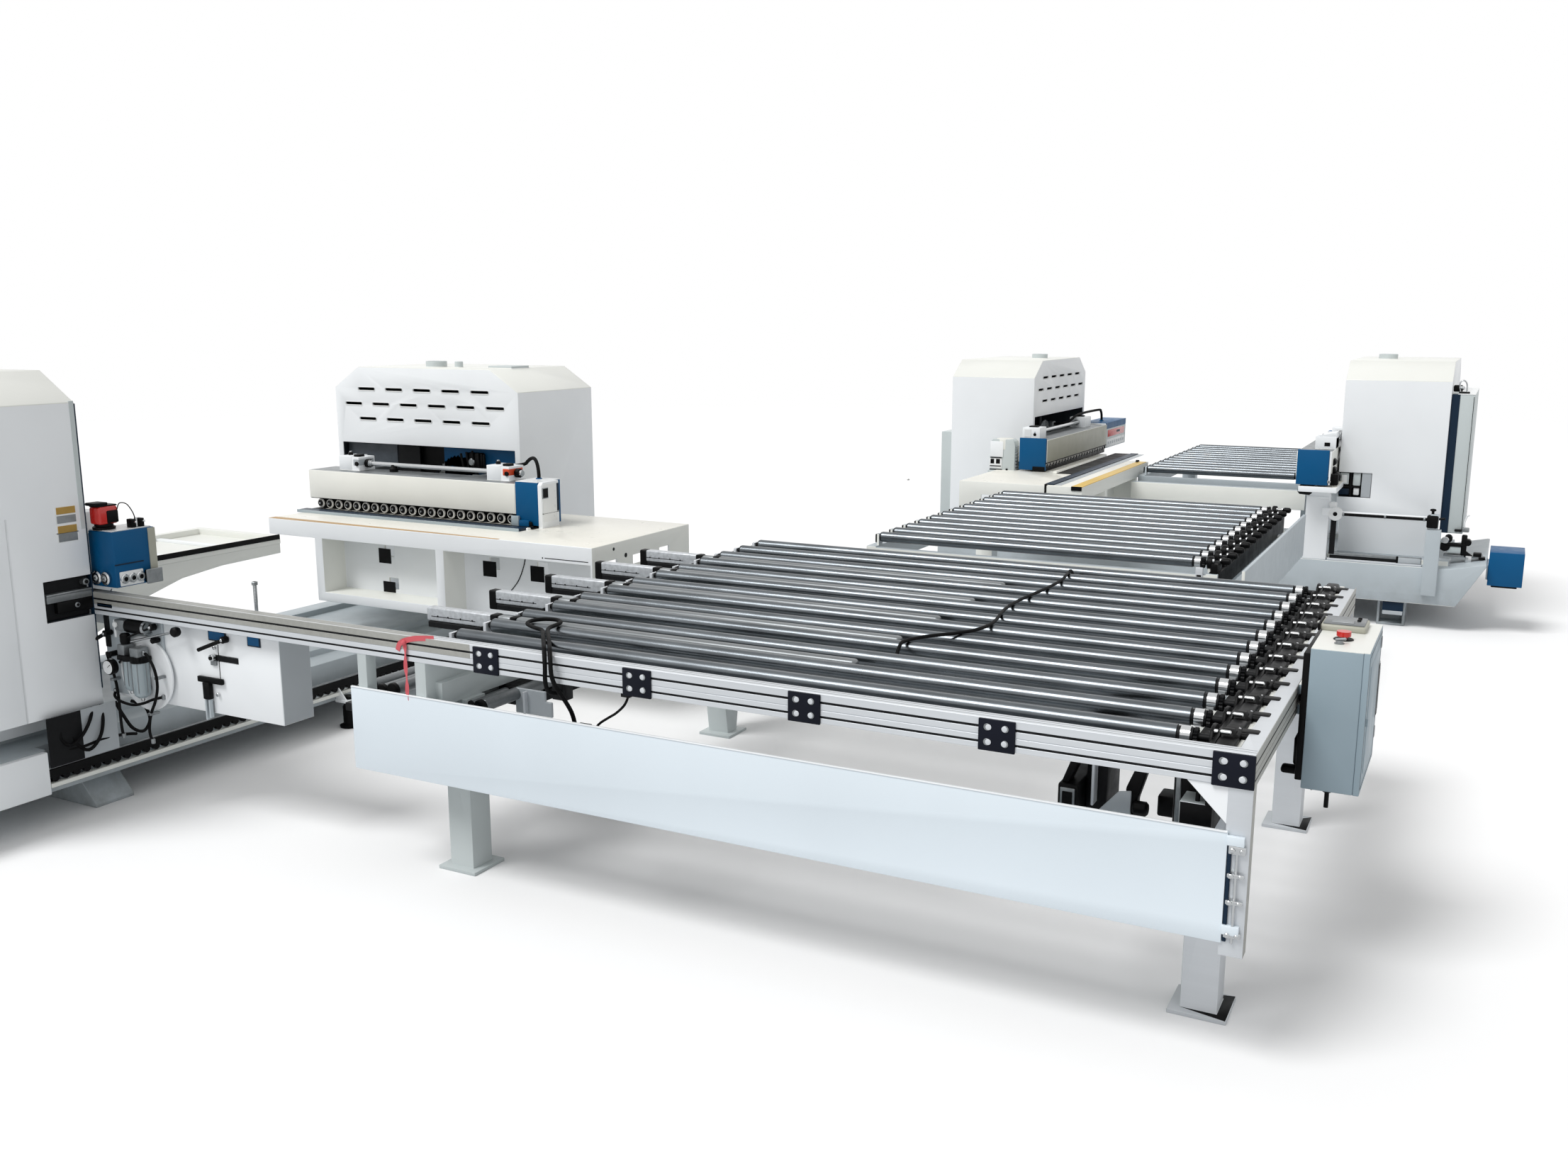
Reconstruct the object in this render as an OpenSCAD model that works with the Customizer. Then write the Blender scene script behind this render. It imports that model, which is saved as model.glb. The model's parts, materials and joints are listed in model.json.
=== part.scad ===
// Panel sizing line: two double end saws at right angles, joined by powered roller tables.
// Origin: bottom centre of the whole line. X: feed of the first saw. Y: feed of the second saw.

/* [Line] */
// Overall length along X, out to the cover of the width drive
line_w = 6212; // [6150:1:6400]
// Overall length along Y, from the first base beam to the far roller table
line_l = 9030; // [8950:1:9200]
// Height of the rollers and work tables that carry the panel
level = 870; // [860:1:890]
// Distance between the front faces of the two heads of the first saw
head_gap_1 = 2375; // [2300:1:2500]
// Distance between the front faces of the two heads of the second saw
head_gap_2 = 2014; // [2005:1:2060]
// Distance of the front face of the right head from the end of the line
head_d_inset = 1085; // [1080:1:1110]
// Distance along Y from the front rail to the near ends of the second saw's hoods
saw_2_offset = 5985; // [5960:1:6000]

/* [Head hood] */
// Length of a hood along the feed
head_len = 1290; // [1270:1:1320]
// Depth of the first saw's hoods across the feed
head_depth = 650; // [640:1:680]
// Depth of the second saw's hoods across the feed
head_depth_2 = 605; // [595:1:630]
// Height of the hoods' tops
hood_top = 1625; // [1600:1:1680]
// Height of the near head's hood top
hood_top_a = 1700; // [1650:1:1760]
// Height of the left head's hood top
hood_top_c = 1593; // [1580:1:1620]
// Sheet thickness of a hood
hood_wall = 12; // [8:1:16]
// Length of the slope at each end of a hood's top
slope_l = 180; // [140:1:220]
// Height of the slope at each end of a hood's top
slope_h = 115; // [90:1:150]
// Height of the hoods' lower edge
hood_foot = 416; // [380:1:450]
// Height of the right head's hood lower edge
hood_foot_d = 668; // [640:1:680]
// Height of the front opening's top edge
mouth_top = 1205; // [1195:1:1240]
// Drop from the panel level to the floor inside the hood
mouth_drop = 96; // [85:1:110]
// Depth of the notch that lets the panel edge through a hood's ends
notch_d = 196; // [180:1:220]
// Height of that notch over the panel level
notch_h = 60; // [50:1:80]
// Length of one vent slot
vent_l = 120; // [90:1:140]
// Height of one vent slot
vent_h = 14; // [10:1:20]
// Distance between two vent slots
vent_pitch = 200; // [180:1:205]
// Distance between two rows of vent slots
vent_row = 82; // [70:1:90]

/* [Pressure beam] */
// Length of the white beam
beam_l = 1406; // [1380:1:1430]
// Length of the second saw's white beams
beam_l_2 = 1525; // [1500:1:1540]
// Length of the near head's white beam
beam_l_a = 1149; // [1130:1:1180]
// Height of the white beam
beam_h = 152; // [140:1:170]
// Depth of the white beam
beam_d = 200; // [190:1:220]
// Gap from the panel level to the white beam
beam_gap = 61; // [58:1:75]
// Length of the blue block at the ends of the first saw's beams
cap_l = 139; // [120:1:150]
// Thickness of the blue end plate of the second saw's beams
cap_l_2 = 20; // [15:1:40]
// Length of the display block at the far end of the left head's beam
display_l = 600; // [500:1:640]
// Distance that the beam stands out from the far head's hood
beam_out_b = 340; // [330:1:360]
// Distance that the beams stand out from the other hoods
beam_out = 215; // [205:1:225]
// Number of press wheels under a beam
wheel_count = 21; // [15:1:22]
// Diameter of a press wheel
wheel_d = 50; // [44:1:52]
// Diameter of the cross shaft that lifts both ends of the beam
lift_shaft_d = 24; // [18:1:30]
// Diameter of a column that guides the beam
column_d = 30; // [24:1:36]

/* [Saw] */
// Diameter of the saw blade
blade_d = 300; // [250:1:310]
// Number of teeth on the blade
blade_teeth = 36; // [24:1:48]
// Thickness of the blade
blade_t = 4; // [3:1:6]
// Diameter of the saw arbor
arbor_d = 25; // [20:1:30]
// Diameter of the saw motor
motor_d = 140; // [120:1:148]
// Length of the saw motor
motor_l = 270; // [240:1:300]

/* [Roller tables] */
// Diameter of a roller
roller_d = 50; // [44:1:60]
// Distance between two rollers of the second and third tables
pitch_2 = 165; // [160:1:168]
// Diameter of a roller's shaft
shaft_d = 20; // [15:1:25]
// Width of the aluminium rail profile
rail_w = 45; // [40:1:50]
// Height of the aluminium rail profile
rail_h = 87; // [80:1:100]
// Width of a leg
leg_w = 100; // [80:1:110]

/* [Control box] */
// Height of the control box
box_h = 413; // [390:1:430]
// Width of the control box
box_w = 412; // [380:1:440]
// Depth of the control box with its door
box_d = 161; // [150:1:170]

/* [Hidden] */
$fn = 48;

// Fits
run_gap = 0.3;
fit_gap = 0.05;
cut = 1;

// Colours
paint = "whitesmoke";
cream = "beige";
blue = "royalblue";
dark = "dimgray";
alu = "silver";

// Places of the four heads
base_margin = 115;
front_rail_y = -line_l / 2 + base_margin + head_depth;
head_a_x = -line_w / 2;
head_b_x = head_a_x + 190;
head_b_y = front_rail_y + head_gap_1;
head_d_x = line_w / 2 - head_d_inset;
head_c_x = head_d_x - head_gap_2;
saw_2_y = front_rail_y + saw_2_offset + head_len;

// Base beams, in each saw's own frame: x along the feed, y across it
base_top_1 = 300;
base_top_2 = 390;
slide_h = 30;
base_1_x = [240, 1290];
base_1_y = [-line_l / 2, front_rail_y + head_gap_1 + 1315];
base_1_foot = 130;
base_2_x = [330, 1480];
base_2_foot = 160;
saddle_x = [60, 1140];
saddle_y = [40, 590];
saddle_y_d = [24, 536];
saddle_end_d = head_len - 15;
rail_d_d = 16;
rail_d_x = head_len + 210;
rail_d_z = 700;

// Pressure beam
beam_x = 112;
beam_z = level + beam_gap;
gearbox = [140, 120, 72];
wheel_in = 60;
wheel_bar = 28;
wheel_bar_y = wheel_in + 30;
wheel_z = level + 8 + wheel_d / 2;
cavity_h = 60;
cap_rise = 12;
arm_w = 60;
arm_h = 30;
far_cap_l = 80;
// Places of the gearboxes, the guide columns and the wheel rows on each beam
boxes_a = [264, 1060];
boxes_b = [264, 1282];
boxes_c = [300, 1430];
boxes_d = [430, 1282];
column_y = 240;
column_top = 1290;
columns_a = [334, 1130];
columns_b = [334, 1130];
columns_c = [370, 1130];
columns_d = [480, 1130];
wheels_a = [150, 1170];
wheels_b = [150, 1505];
wheels_c = [150, 1620];
wheels_d = [430, 1620];

// Saw unit
saw_x = 820;
inner_x = 560;
blade_y = 60;
saw_z = level - 10 + blade_d / 2;
arbor_in = 30;

// First roller table
roller_n = 13;
rail_z = level - 95;
roller_z = level - roller_d / 2;
table_1_x = [-200, line_w / 2 - 633];
table_1_l = 2350;
roller_pitch = (table_1_l - 250) / (roller_n - 1);
first_roller_y = front_rail_y + 141;
roller_x = [-117, table_1_x[1] - 157];
bearing_t = 12;
bearing_x = [-150, table_1_x[1] - 121];
low_beam_z = 620;
low_beam = 80;
deck_end = table_1_l - 197;
cross_y = [front_rail_y + 579, front_rail_y + deck_end];
plate_x = [57, 636, 1201, 1770, table_1_x[1] - 100];

// Other roller tables
table_2_x = [292, 1831];
table_2_y = [front_rail_y + 2675, front_rail_y + 4615];
table_3_x = [head_c_x + 726, head_d_x - 256];
table_3_y = [saw_2_y - 950, line_l / 2];

// Control box on the right rail
box_y = front_rail_y + 671;
box_x = table_1_x[1] + 32;
box_z = 572;
door_t = 22;
hinge_x = box_x + box_d - door_t + 8;
hinge_y = box_y + box_w + 7;

// Routes of the cords, chosen by hand, relative to the front rail and the panel level
rail_cable_d = 14;
rail_cable_route = [
    [402, 62, -276], [402, 62, -240], [400, 48, -196], [396, 16, -146], [390, -12, -104],
    [385, -25, -70], [382, -26, -44], [377, -20, -16], [364, -4, 4.5], [347, 18, 12],
    [249, 141, 8], [182, 224, 8], [161, 268, 8], [156, 311, 8], [143, 347, 8], [106, 368, 8],
    [64, 356, 8], [44, 318, 8], [56, 277, 8], [89, 252, 8], [130, 232, 8], [169, 213, 8],
    [227, 141, 8], [325, 18, 12], [342, -4, 4.5], [355, -20, -16], [360, -26, -44],
    [359, -26, -80], [358, -18, -108], [357, 2, -128], [356, 30, -136], [356, 66, -136]
];
rail_gland = [356, -136];
deck_cable_d = 12;
deck_cable_x = [1285, 1405];
deck_cable_route = [
    [1285, 579, -164], [1285, 579, -44], [1285, 586, -19], [1285, 604, -1], [1285, 629, 6],
    [1296, 680, 6], [1330, 745, 6], [1385, 815, 6], [1430, 890, 6], [1448, 990, 6],
    [1440, 1090, 6], [1412, 1260, 6], [1408, 1440, 6], [1428, 1680, 6], [1433, 1880, 6],
    [1414, deck_end - 123, 6], [1405, deck_end - 50, 6], [1405, deck_end - 25, -1],
    [1405, deck_end - 7, -19], [1405, deck_end, -44], [1405, deck_end, -164]
];
plate_cable_d = 8;
plate_cable_route = [
    [634, 22, -100], [634, 22, -114], [620, 22, -140], [590, 22, -168], [556, 23, -190],
    [524, 26, -212], [500, 30, -240], [500, 30, -268]
];
hose_d = 18;
hose_in = 95;
hose_up = 238;
hose_b_inner = 1212;
hose_c_inner = 532;
hose_b_outer = [1570, -208];
hose_c_outer = [-100, -115];
hose_b_route = [
    [1212, 95, 238], [1212, 62, 238], [1212, 20, 240], [1222, -20, 246], [1252, -60, 254],
    [1292, -92, 264],
    [1400, -108, 284], [1440, -128, 303], [1472, -146, 318], [1508, -166, 325],
    [1539, -187, 315], [1561, -202, 287], [1570, -208, 250], [1570, -208, 229]
];
hose_c_route = [
    [532, 95, 238], [532, 62, 238], [532, 20, 243], [522, -17, 252], [494, -45, 272], [457, -58, 292],
    [400, -66, 303], [300, -78, 310], [150, -100, 316], [-28, -115, 316],
    [-64, -115, 306], [-90, -115, 280], [-100, -115, 244], [-100, -115, 229]
];

// Places one head: a and c are mirror images of b and d
module place_a() {
    translate([head_a_x, front_rail_y, 0]) mirror([0, 1, 0]) children();
}

module place_b() {
    translate([head_b_x, head_b_y, 0]) children();
}

module place_c() {
    translate([head_c_x, saw_2_y, 0]) rotate(-90) mirror([0, 1, 0]) children();
}

module place_d() {
    translate([head_d_x, saw_2_y, 0]) rotate(-90) children();
}

// A box given by its ranges along the three axes
module block(x, y, z) {
    translate([x[0], y[0], z[0]]) cube([x[1] - x[0], y[1] - y[0], z[1] - z[0]]);
}

// A bar with an x, z outline that runs along y
module prism_y(outline, y) {
    translate([0, y[1], 0]) rotate([90, 0, 0]) linear_extrude(y[1] - y[0]) polygon(outline);
}

// A bar with a y, z outline that runs along x
module prism_x(outline, x) {
    translate([x[0], 0, 0]) rotate([90, 0, 90]) linear_extrude(x[1] - x[0]) polygon(outline);
}

module rod_x(d, x, y, z) {
    translate([x[0], y, z]) rotate([0, 90, 0]) cylinder(d = d, h = x[1] - x[0]);
}

module rod_y(d, x, y, z) {
    translate([x, y[0], z]) rotate([-90, 0, 0]) cylinder(d = d, h = y[1] - y[0]);
}

// Outline of the aluminium rail: a slotted rectangle, width along x and height along y
module rail_outline(w, h) {
    slot_w = 9;
    slot_d = 7;
    difference() {
        square([w, h]);
        for (side = [0, w - slot_d], part = [0.27, 0.73])
            translate([side, h * part - slot_w / 2]) square([slot_d, slot_w]);
    }
}

module rail_x(x, y, z) {
    translate([x[0], y, z]) rotate([90, 0, 90]) linear_extrude(x[1] - x[0])
        rail_outline(rail_w, rail_h);
}

module rail_y(x, y, z) {
    translate([x, y[1], z]) rotate([90, 0, 0]) linear_extrude(y[1] - y[0])
        rail_outline(rail_w, rail_h);
}

// Hood outline in x, z, drawn in by the wall on every side but the foot
function hood_outline(top, foot, wall) = [
    [wall, foot], [head_len - wall, foot],
    [head_len - wall, top - slope_h - wall / 2], [head_len - slope_l - wall / 2, top - wall],
    [slope_l + wall / 2, top - wall], [wall, top - slope_h - wall / 2]
];

module vent_row_cut(count, z) {
    for (i = [0 : count - 1])
        translate([head_len / 2 - 10 + (i - (count - 1) / 2) * vent_pitch, hood_wall / 2, z])
            cube([vent_l, hood_wall + 2 * cut, vent_h], center = true);
}

// A hood with its cavity, mouth, notches, vents, saddle and dust spouts
module hood(depth, top, foot, saddle_foot, saddle_end, saddle_side) {
    floor_z = level - mouth_drop;
    mouth_side = 35;
    vent_z = top - slope_h - 5;
    difference() {
        prism_y(hood_outline(top, foot, 0), [0, depth]);
        prism_y(hood_outline(top, floor_z, hood_wall), [hood_wall, depth - hood_wall]);
        block([mouth_side, head_len - mouth_side], [-cut, hood_wall + cut], [floor_z, mouth_top]);
        block([-cut, head_len + cut], [-cut, notch_d], [floor_z, level + notch_h]);
        vent_row_cut(5, vent_z);
        vent_row_cut(6, vent_z - vent_row);
        vent_row_cut(5, vent_z - 2 * vent_row);
    }
    if (saddle_foot < foot)
        block([saddle_x[0], saddle_end], saddle_side, [saddle_foot, foot]);
}

// Round dust outlet on a hood's top
module spout(x, y, d, top, h) {
    translate([x, y, top]) difference() {
        cylinder(d = d, h = h);
        translate([0, 0, cut]) cylinder(d = d - 12, h = h);
    }
}

// Columns inside a hood that guide the arms of its pressure beam
module guide_columns(col_x) {
    foot = level - mouth_drop - cut;
    for (x = col_x)
        translate([x, column_y, foot]) cylinder(d = column_d, h = column_top - foot);
}

// Plate that shuts off the saw's space inside a hood
module inner_plate(depth) {
    block([inner_x, inner_x + 10], [notch_d + 20, depth - hood_wall], [level - mouth_drop, mouth_top + 60]);
}

module cabinet_a() {
    seam_y = 312;
    color(paint) place_a() {
        difference() {
            union() {
                hood(head_depth, hood_top_a, hood_foot, base_top_1 + slide_h, saddle_x[1], saddle_y);
                inner_plate(head_depth);
                guide_columns(columns_a);
            }
            block([head_len - 2, head_len + cut], [seam_y, seam_y + 4], [hood_foot - cut, 1180]);
        }
    }
}

module cabinet_b() {
    color(paint) place_b() {
        hood(head_depth, hood_top, hood_foot, base_top_1 + slide_h + run_gap, saddle_x[1], saddle_y);
        inner_plate(head_depth);
        guide_columns(columns_b);
        spout(580, 190, 115, hood_top, 32);
        spout(740, 190, 45, hood_top, 32);
        block([950, 1110], [180, 330], [hood_top, hood_top + 12]);
    }
}

module cabinet_c() {
    color(paint) place_c() {
        hood(head_depth_2, hood_top_c, base_top_2 + slide_h, base_top_2 + slide_h, saddle_x[1], saddle_y);
        inner_plate(head_depth_2);
        guide_columns(columns_c);
        spout(580, 190, 115, hood_top_c, 32);
        block([500, head_len - 40], [head_depth_2, head_depth_2 + 90], [base_top_2 + slide_h, 1080]);
    }
}

module cabinet_d() {
    back_y = head_depth_2 + 33;
    back_z = [582, 1434];
    color(paint) place_d() {
        hood(head_depth_2, hood_top, hood_foot_d, base_top_2 + slide_h + run_gap, saddle_end_d, saddle_y_d);
        inner_plate(head_depth_2);
        guide_columns(columns_d);
        spout(700, 190, 115, hood_top, 32);
        // back panel and the box on it
        block([300, head_len - 40], [head_depth_2, back_y], back_z);
        block([420, head_len - 20], [back_y, back_y + 97], back_z);
    }
}

// Pads of the feed chain, side by side in their pocket
module chain_pads(x, y) {
    pad_l = 58;
    pad_pitch = 64;
    for (i = [0 : floor((x[1] - x[0]) / pad_pitch) - 1])
        block([x[0] + i * pad_pitch, x[0] + i * pad_pitch + pad_l], y, [level - 30, level + 3]);
}

// Work table that stands well out from the hood, with an open frame below it
module wide_table(x, pads_x, out, table_out) {
    slab_t = 35;
    frame_z = [464, 835];
    frame_x = 322;
    post_w = 52;
    tail_x = head_len + 12;
    pads_y = [-out - 40, -out + 100];
    low = level - slab_t;
    difference() {
        union() {
            block(x, [-table_out, 30], [low, level]);
            block([tail_x, x[1]], [0, 133], [low, level]);
        }
        block([pads_x[0] - 6, pads_x[1] + 6], [pads_y[0] - 4, pads_y[1] + 4], [level - 30, level + cut]);
    }
    chain_pads(pads_x, pads_y);
    block([pads_x[0], pads_x[1]], [pads_y[0] - 34, pads_y[0] - 8], [level - cut, level + 10]);
    // open frame under the front edge
    difference() {
        block([x[0] + frame_x, x[0] + frame_x + 853], [-table_out, -table_out + 150], [frame_z[0], low]);
        block([x[0] + frame_x + post_w, x[0] + frame_x + 801], [-table_out - cut, -table_out + 151],
            [frame_z[0] + 47, low - 47]);
    }
    block([x[0], x[1]], [-table_out, -table_out + 40], [low - 47, low]);
    // panel behind the frame with its square holes
    difference() {
        block([x[0] + frame_x, x[1] - 60], [-table_out + 150, -table_out + 162], [frame_z[0] + 6, low]);
        for (hole = [[330, 700], [350, 530], [1010, 690], [1300, 690]])
            block([x[0] + frame_x + hole.x, x[0] + frame_x + hole.x + 62],
                [-table_out + 149, -table_out + 163], [hole.y, hole.y + 58]);
    }
    // end plate with slots
    difference() {
        block([x[1] - 12, x[1]], [-table_out, 133], [700, low]);
        for (y = [-table_out + 110, -table_out + 330, -table_out + 560])
            block([x[1] - 13, x[1] + cut], [y, y + 90], [745, 790]);
    }
    // arms that reach the cabinet
    for (arm = [x[0] + frame_x + 60, head_len - 120])
        block([arm, arm + 70], [-table_out + 160, 0], [low - 120, low]);
}

module work_table_b() {
    color(cream) place_b() {
        wide_table([188, head_len + 950], [200, head_len + 360], beam_out_b, 703);
    }
}

// Gearmotor that drives the left head's feed chain
module feed_gearmotor(x, y) {
    block([x, x + 110], [y, y + 170], [level - 134, level + 140]);
    translate([x + 55, y + 85, level + 139]) cylinder(d = 120, h = 72);
    block([x - 90, x + 1], [y + 40, y + 130], [level - 110, level - 40]);
}

module work_table_c() {
    color(cream) place_c() {
        wide_table([644, head_len + 1083], [660, head_len + 360], beam_out, 665);
        block([230, 645], [-beam_out - 40, 30], [level - 35, level]);
        block([head_len, head_len + 255], [20, 130], [level - 134, level - 30]);
        feed_gearmotor(head_len + 255, 10);
    }
}

// Narrow feed table close to the hood
module narrow_table(x) {
    pads_y = [-185, -95];
    low = level - 35;
    difference() {
        block(x, [-192, 30], [low, level]);
        block([x[0] + 20, x[1] - 20], [pads_y[0] - 2, pads_y[1] + 2], [level - 30, level + cut]);
    }
    chain_pads([x[0] + 26, x[1] - 20], pads_y);
    for (arm = [x[0] + 100, head_len - 200])
        block([arm, arm + 70], [-180, 0], [low - 120, low]);
}

module work_table_a() {
    housing_x = [head_len, head_len + 935];
    color(paint) place_a() {
        narrow_table([20, head_len - 110]);
        // housing beside the hood, under the front rail
        difference() {
            block(housing_x, [-187, -rail_w], [444, rail_z]);
            block([head_len + 600, head_len + 720], [-rail_w - 6, -rail_w + cut], [648, 672]);
        }
        // beam that ties the housing to the table
        block([head_len - 190, head_len + cut], [-150, -60], [720, level - mouth_drop]);
    }
}

module work_table_d() {
    color(paint) place_d() {
        narrow_table([420, head_len + 367]);
        block([head_len + 110, head_len + 185], [-160, -20], [base_top_2 + run_gap, level - 34]);
        // rail for the panel stop, held by the post
        block([head_len + 184, rail_d_x + 14], [-60, 18], [rail_d_z - 24, rail_d_z + 24]);
        rod_y(rail_d_d, rail_d_x, [17, 600], rail_d_z);
    }
}

// White beam with blue block, gearboxes and the bores of its columns and cross shaft
module pressure_beam(length, out, col_x, boxes, cap, far_cap) {
    box_y = [-out + beam_d - gearbox.y, -out + beam_d];
    top = beam_z + beam_h;
    shaft_z = top + gearbox.z / 2;
    skin = 8;
    end = beam_x + length;
    difference() {
        union() {
            difference() {
                block([beam_x, end], [-out, -out + beam_d], [beam_z, top]);
                block([beam_x + skin, end - skin], [-out + skin, -out + wheel_bar_y + wheel_bar + 4],
                    [beam_z - cut, beam_z + cavity_h]);
            }
            for (x = boxes)
                block([x, x + gearbox.x], box_y, [top - cut, top + gearbox.z]);
            for (x = col_x)
                block([x - arm_w / 2, x + arm_w / 2], [-out + beam_d - cut, column_y + arm_w / 2],
                    [top - arm_h, top]);
            block([end, end + cap], [-out + 6, -out + 190], [level + 10, top + cap_rise]);
            if (far_cap > 0)
                block([beam_x - far_cap, beam_x], [-out + 6, -out + 190], [level + 30, top + cap_rise]);
        }
        for (x = col_x)
            translate([x, column_y, top - arm_h - cut])
                cylinder(d = column_d + 2 * fit_gap, h = arm_h + 2 * cut);
        for (x = [boxes[0] + gearbox.x - 40, boxes[1] - cut])
            rod_x(lift_shaft_d + 2 * fit_gap, [x, x + 40 + cut], -out + beam_d - gearbox.y / 2, shaft_z);
    }
}

// Arm that carries the inner end of a beam's hose in a bore along y, and the gland for its outer end
module hose_mounts(out, inner, outer) {
    top = beam_z + beam_h;
    block([inner - 15, inner + 15], [-out + beam_d - cut, hose_in + 1], [top - arm_h, top]);
    difference() {
        block([inner - 28, inner + 28], [hose_in - 21, hose_in + 21], [top - arm_h, level + hose_up + 20]);
        rod_y(hose_d + 2 * run_gap, inner, [hose_in - 22, hose_in + 4], level + hose_up);
    }
    translate([outer.x, outer.y, top + cap_rise - cut]) difference() {
        cylinder(d = hose_d + 14, h = 8 + cut);
        translate([0, 0, 2 * cut]) cylinder(d = hose_d + 2 * run_gap, h = 8);
    }
}

module lift_shaft(out, boxes) {
    rod_x(lift_shaft_d, [boxes[0] + gearbox.x - 38, boxes[1] + 38],
        -out + beam_d - gearbox.y / 2, beam_z + beam_h + gearbox.z / 2);
    for (x = [boxes[0] + gearbox.x + 2, boxes[1] - 30])
        rod_x(lift_shaft_d + 18, [x, x + 28],
            -out + beam_d - gearbox.y / 2, beam_z + beam_h + gearbox.z / 2);
}

// Row of wheels on stub axles along one carrier bar
module press_wheels(x, out) {
    bar_y = [-out + wheel_bar_y, -out + wheel_bar_y + wheel_bar];
    pitch = (x[1] - x[0] - wheel_d) / (wheel_count - 1);
    block(x, bar_y, [wheel_z - 8, beam_z + cavity_h]);
    for (i = [0 : wheel_count - 1])
        translate([x[0] + wheel_d / 2 + i * pitch, bar_y[0], wheel_z]) rotate([90, 0, 0]) {
            translate([0, 0, -cut]) cylinder(d = 14, h = 26);
            translate([0, 0, 5]) difference() {
                cylinder(d = wheel_d, h = 22);
                translate([0, 0, 16]) cylinder(d = wheel_d - 16, h = 7);
            }
        }
}

// Saw motor hung from the back wall of its hood on a blue carriage
module saw_motor(depth) {
    motor_y = blade_y + 50;
    back = depth - hood_wall;
    difference() {
        union() {
            rod_y(motor_d, saw_x, [motor_y, motor_y + motor_l], saw_z);
            block([saw_x - 150, saw_x + 150], [motor_y + 110, motor_y + 136], [level - 20, mouth_top + 40]);
            block([saw_x - 60, saw_x + 60], [motor_y + 130, back], [saw_z + 10, saw_z + 110]);
        }
        rod_y(arbor_d + 2 * fit_gap, saw_x, [motor_y - cut, motor_y + arbor_in + 2], saw_z);
    }
}

// Blade outline with a gullet at each tooth
module blade_outline() {
    step = 360 / blade_teeth;
    tip = blade_d / 2;
    root = tip - 11;
    difference() {
        polygon([for (i = [0 : blade_teeth - 1], k = [0, 1])
            let (a = i * step + k * step * 0.72, r = k == 0 ? tip : root) [r * cos(a), r * sin(a)]]);
        for (a = [0 : 60 : 300])
            rotate(a) translate([blade_d * 0.3, 0]) circle(d = 22);
    }
}

module saw_blade() {
    flange_d = 90;
    motor_y = blade_y + 50;
    translate([saw_x, blade_y + blade_t, saw_z]) rotate([90, 0, 0])
        linear_extrude(blade_t) blade_outline();
    rod_y(flange_d, saw_x, [blade_y - 8, blade_y + blade_t + 10], saw_z);
    rod_y(arbor_d, saw_x, [blade_y - 24, motor_y + arbor_in], saw_z);
}

// Two guide rails along the top of a base beam
module slide_rails(x, y, z) {
    for (rail = x)
        block([rail, rail + 120], y, [z, z + slide_h]);
}

// Foot with sloped webs under the first base beam
module wedge_foot(x, y) {
    h = base_1_foot;
    difference() {
        prism_y([[x - 340, 0], [x + 110, 0], [x + 110, 14], [x, h], [x - 260, h], [x - 340, 14]], y);
        prism_y([[x + 20, 14], [x + 90, 14], [x + 2, h - 20], [x - 30, h - 20]], [y[0] + 14, y[1] + cut]);
    }
}

module base_beam_1() {
    x = base_1_x;
    y = base_1_y;
    lip = 70;
    step_y = -line_l / 2 + 510;
    tooth = 26;
    teeth_end = head_gap_1 + base_margin + head_depth - 600;
    color(paint) translate([head_a_x, 0, 0]) {
        block([x[0], x[1] - lip], y, [base_1_foot, base_top_1]);
        block([x[1] - lip - cut, x[1]], y, [base_1_foot, base_1_foot + 26]);
        block([x[1] - lip - cut, x[1] - 2], [y[0], step_y], [base_1_foot, base_top_1]);
        slide_rails([265, 960], y, base_top_1);
        for (t = [560 : 2 * tooth : teeth_end])
            block([x[1] - 34, x[1] - 8], [y[0] + t, y[0] + t + tooth], [base_1_foot + 25, base_1_foot + 48]);
        for (foot = [706, 2400, 4200], side = [0, 1])
            translate([side == 0 ? 0 : x[0] + x[1], 0, 0]) mirror([side, 0, 0])
                wedge_foot(x[1] - 135, [y[0] + foot, y[0] + foot + 170]);
    }
}

// Base of the second saw, drawn along its own feed, with the tapered end and the width drive
module base_beam_2() {
    x = base_2_x;
    y0 = head_c_x - head_d_x - 620;
    y1 = 747;
    tip = 140;
    cross_x = head_len - 205;
    color(paint) place_d() {
        prism_x([[y0, base_2_foot], [y1 - 10, base_2_foot], [y1 + tip, base_top_2 + 28],
            [y1 + tip, base_top_2 + 40], [y1 + tip - 14, base_top_2 + 40], [y1 - 60, base_top_2],
            [y0, base_top_2]], x);
        slide_rails([x[0] + 80, x[1] - 230], [y0, y1 - 70], base_top_2);
        for (foot = [y0 + 60, -900, 300], end = [x[0] + 60, x[1] - 200])
            difference() {
                block([end, end + 140], [foot, foot + 160], [0, base_2_foot]);
                block([end + 12, end + 141], [foot + 14, foot + 146], [14, base_2_foot - 14]);
            }
        // cross beam between the two work tables
        block([cross_x, cross_x + 60], [head_c_x - head_d_x + 668, -206], [650, 779]);
        for (post = [head_c_x - head_d_x + 760, -480])
            block([cross_x, cross_x + 60], [post, post + 60], [base_top_2, 651]);
        // width drive under its blue cover
        block([x[1] - 330, x[1] - 90], [y1 + tip - cut, y1 + tip + 12], [330, base_top_2 + 30]);
        block([x[1] - 350, x[1] - 70], [y1 + tip + 10, head_d_inset], [298, 503]);
        // front post of the tool rail
        block([x[1], x[1] + 40], [541, 625], [222, 631]);
        difference() {
            block([x[1] + 4, x[1] + 36], [560, 606], [630, rail_d_z + 24]);
            rod_y(rail_d_d + 2 * run_gap, rail_d_x, [559, 607], rail_d_z);
        }
    }
}

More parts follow.
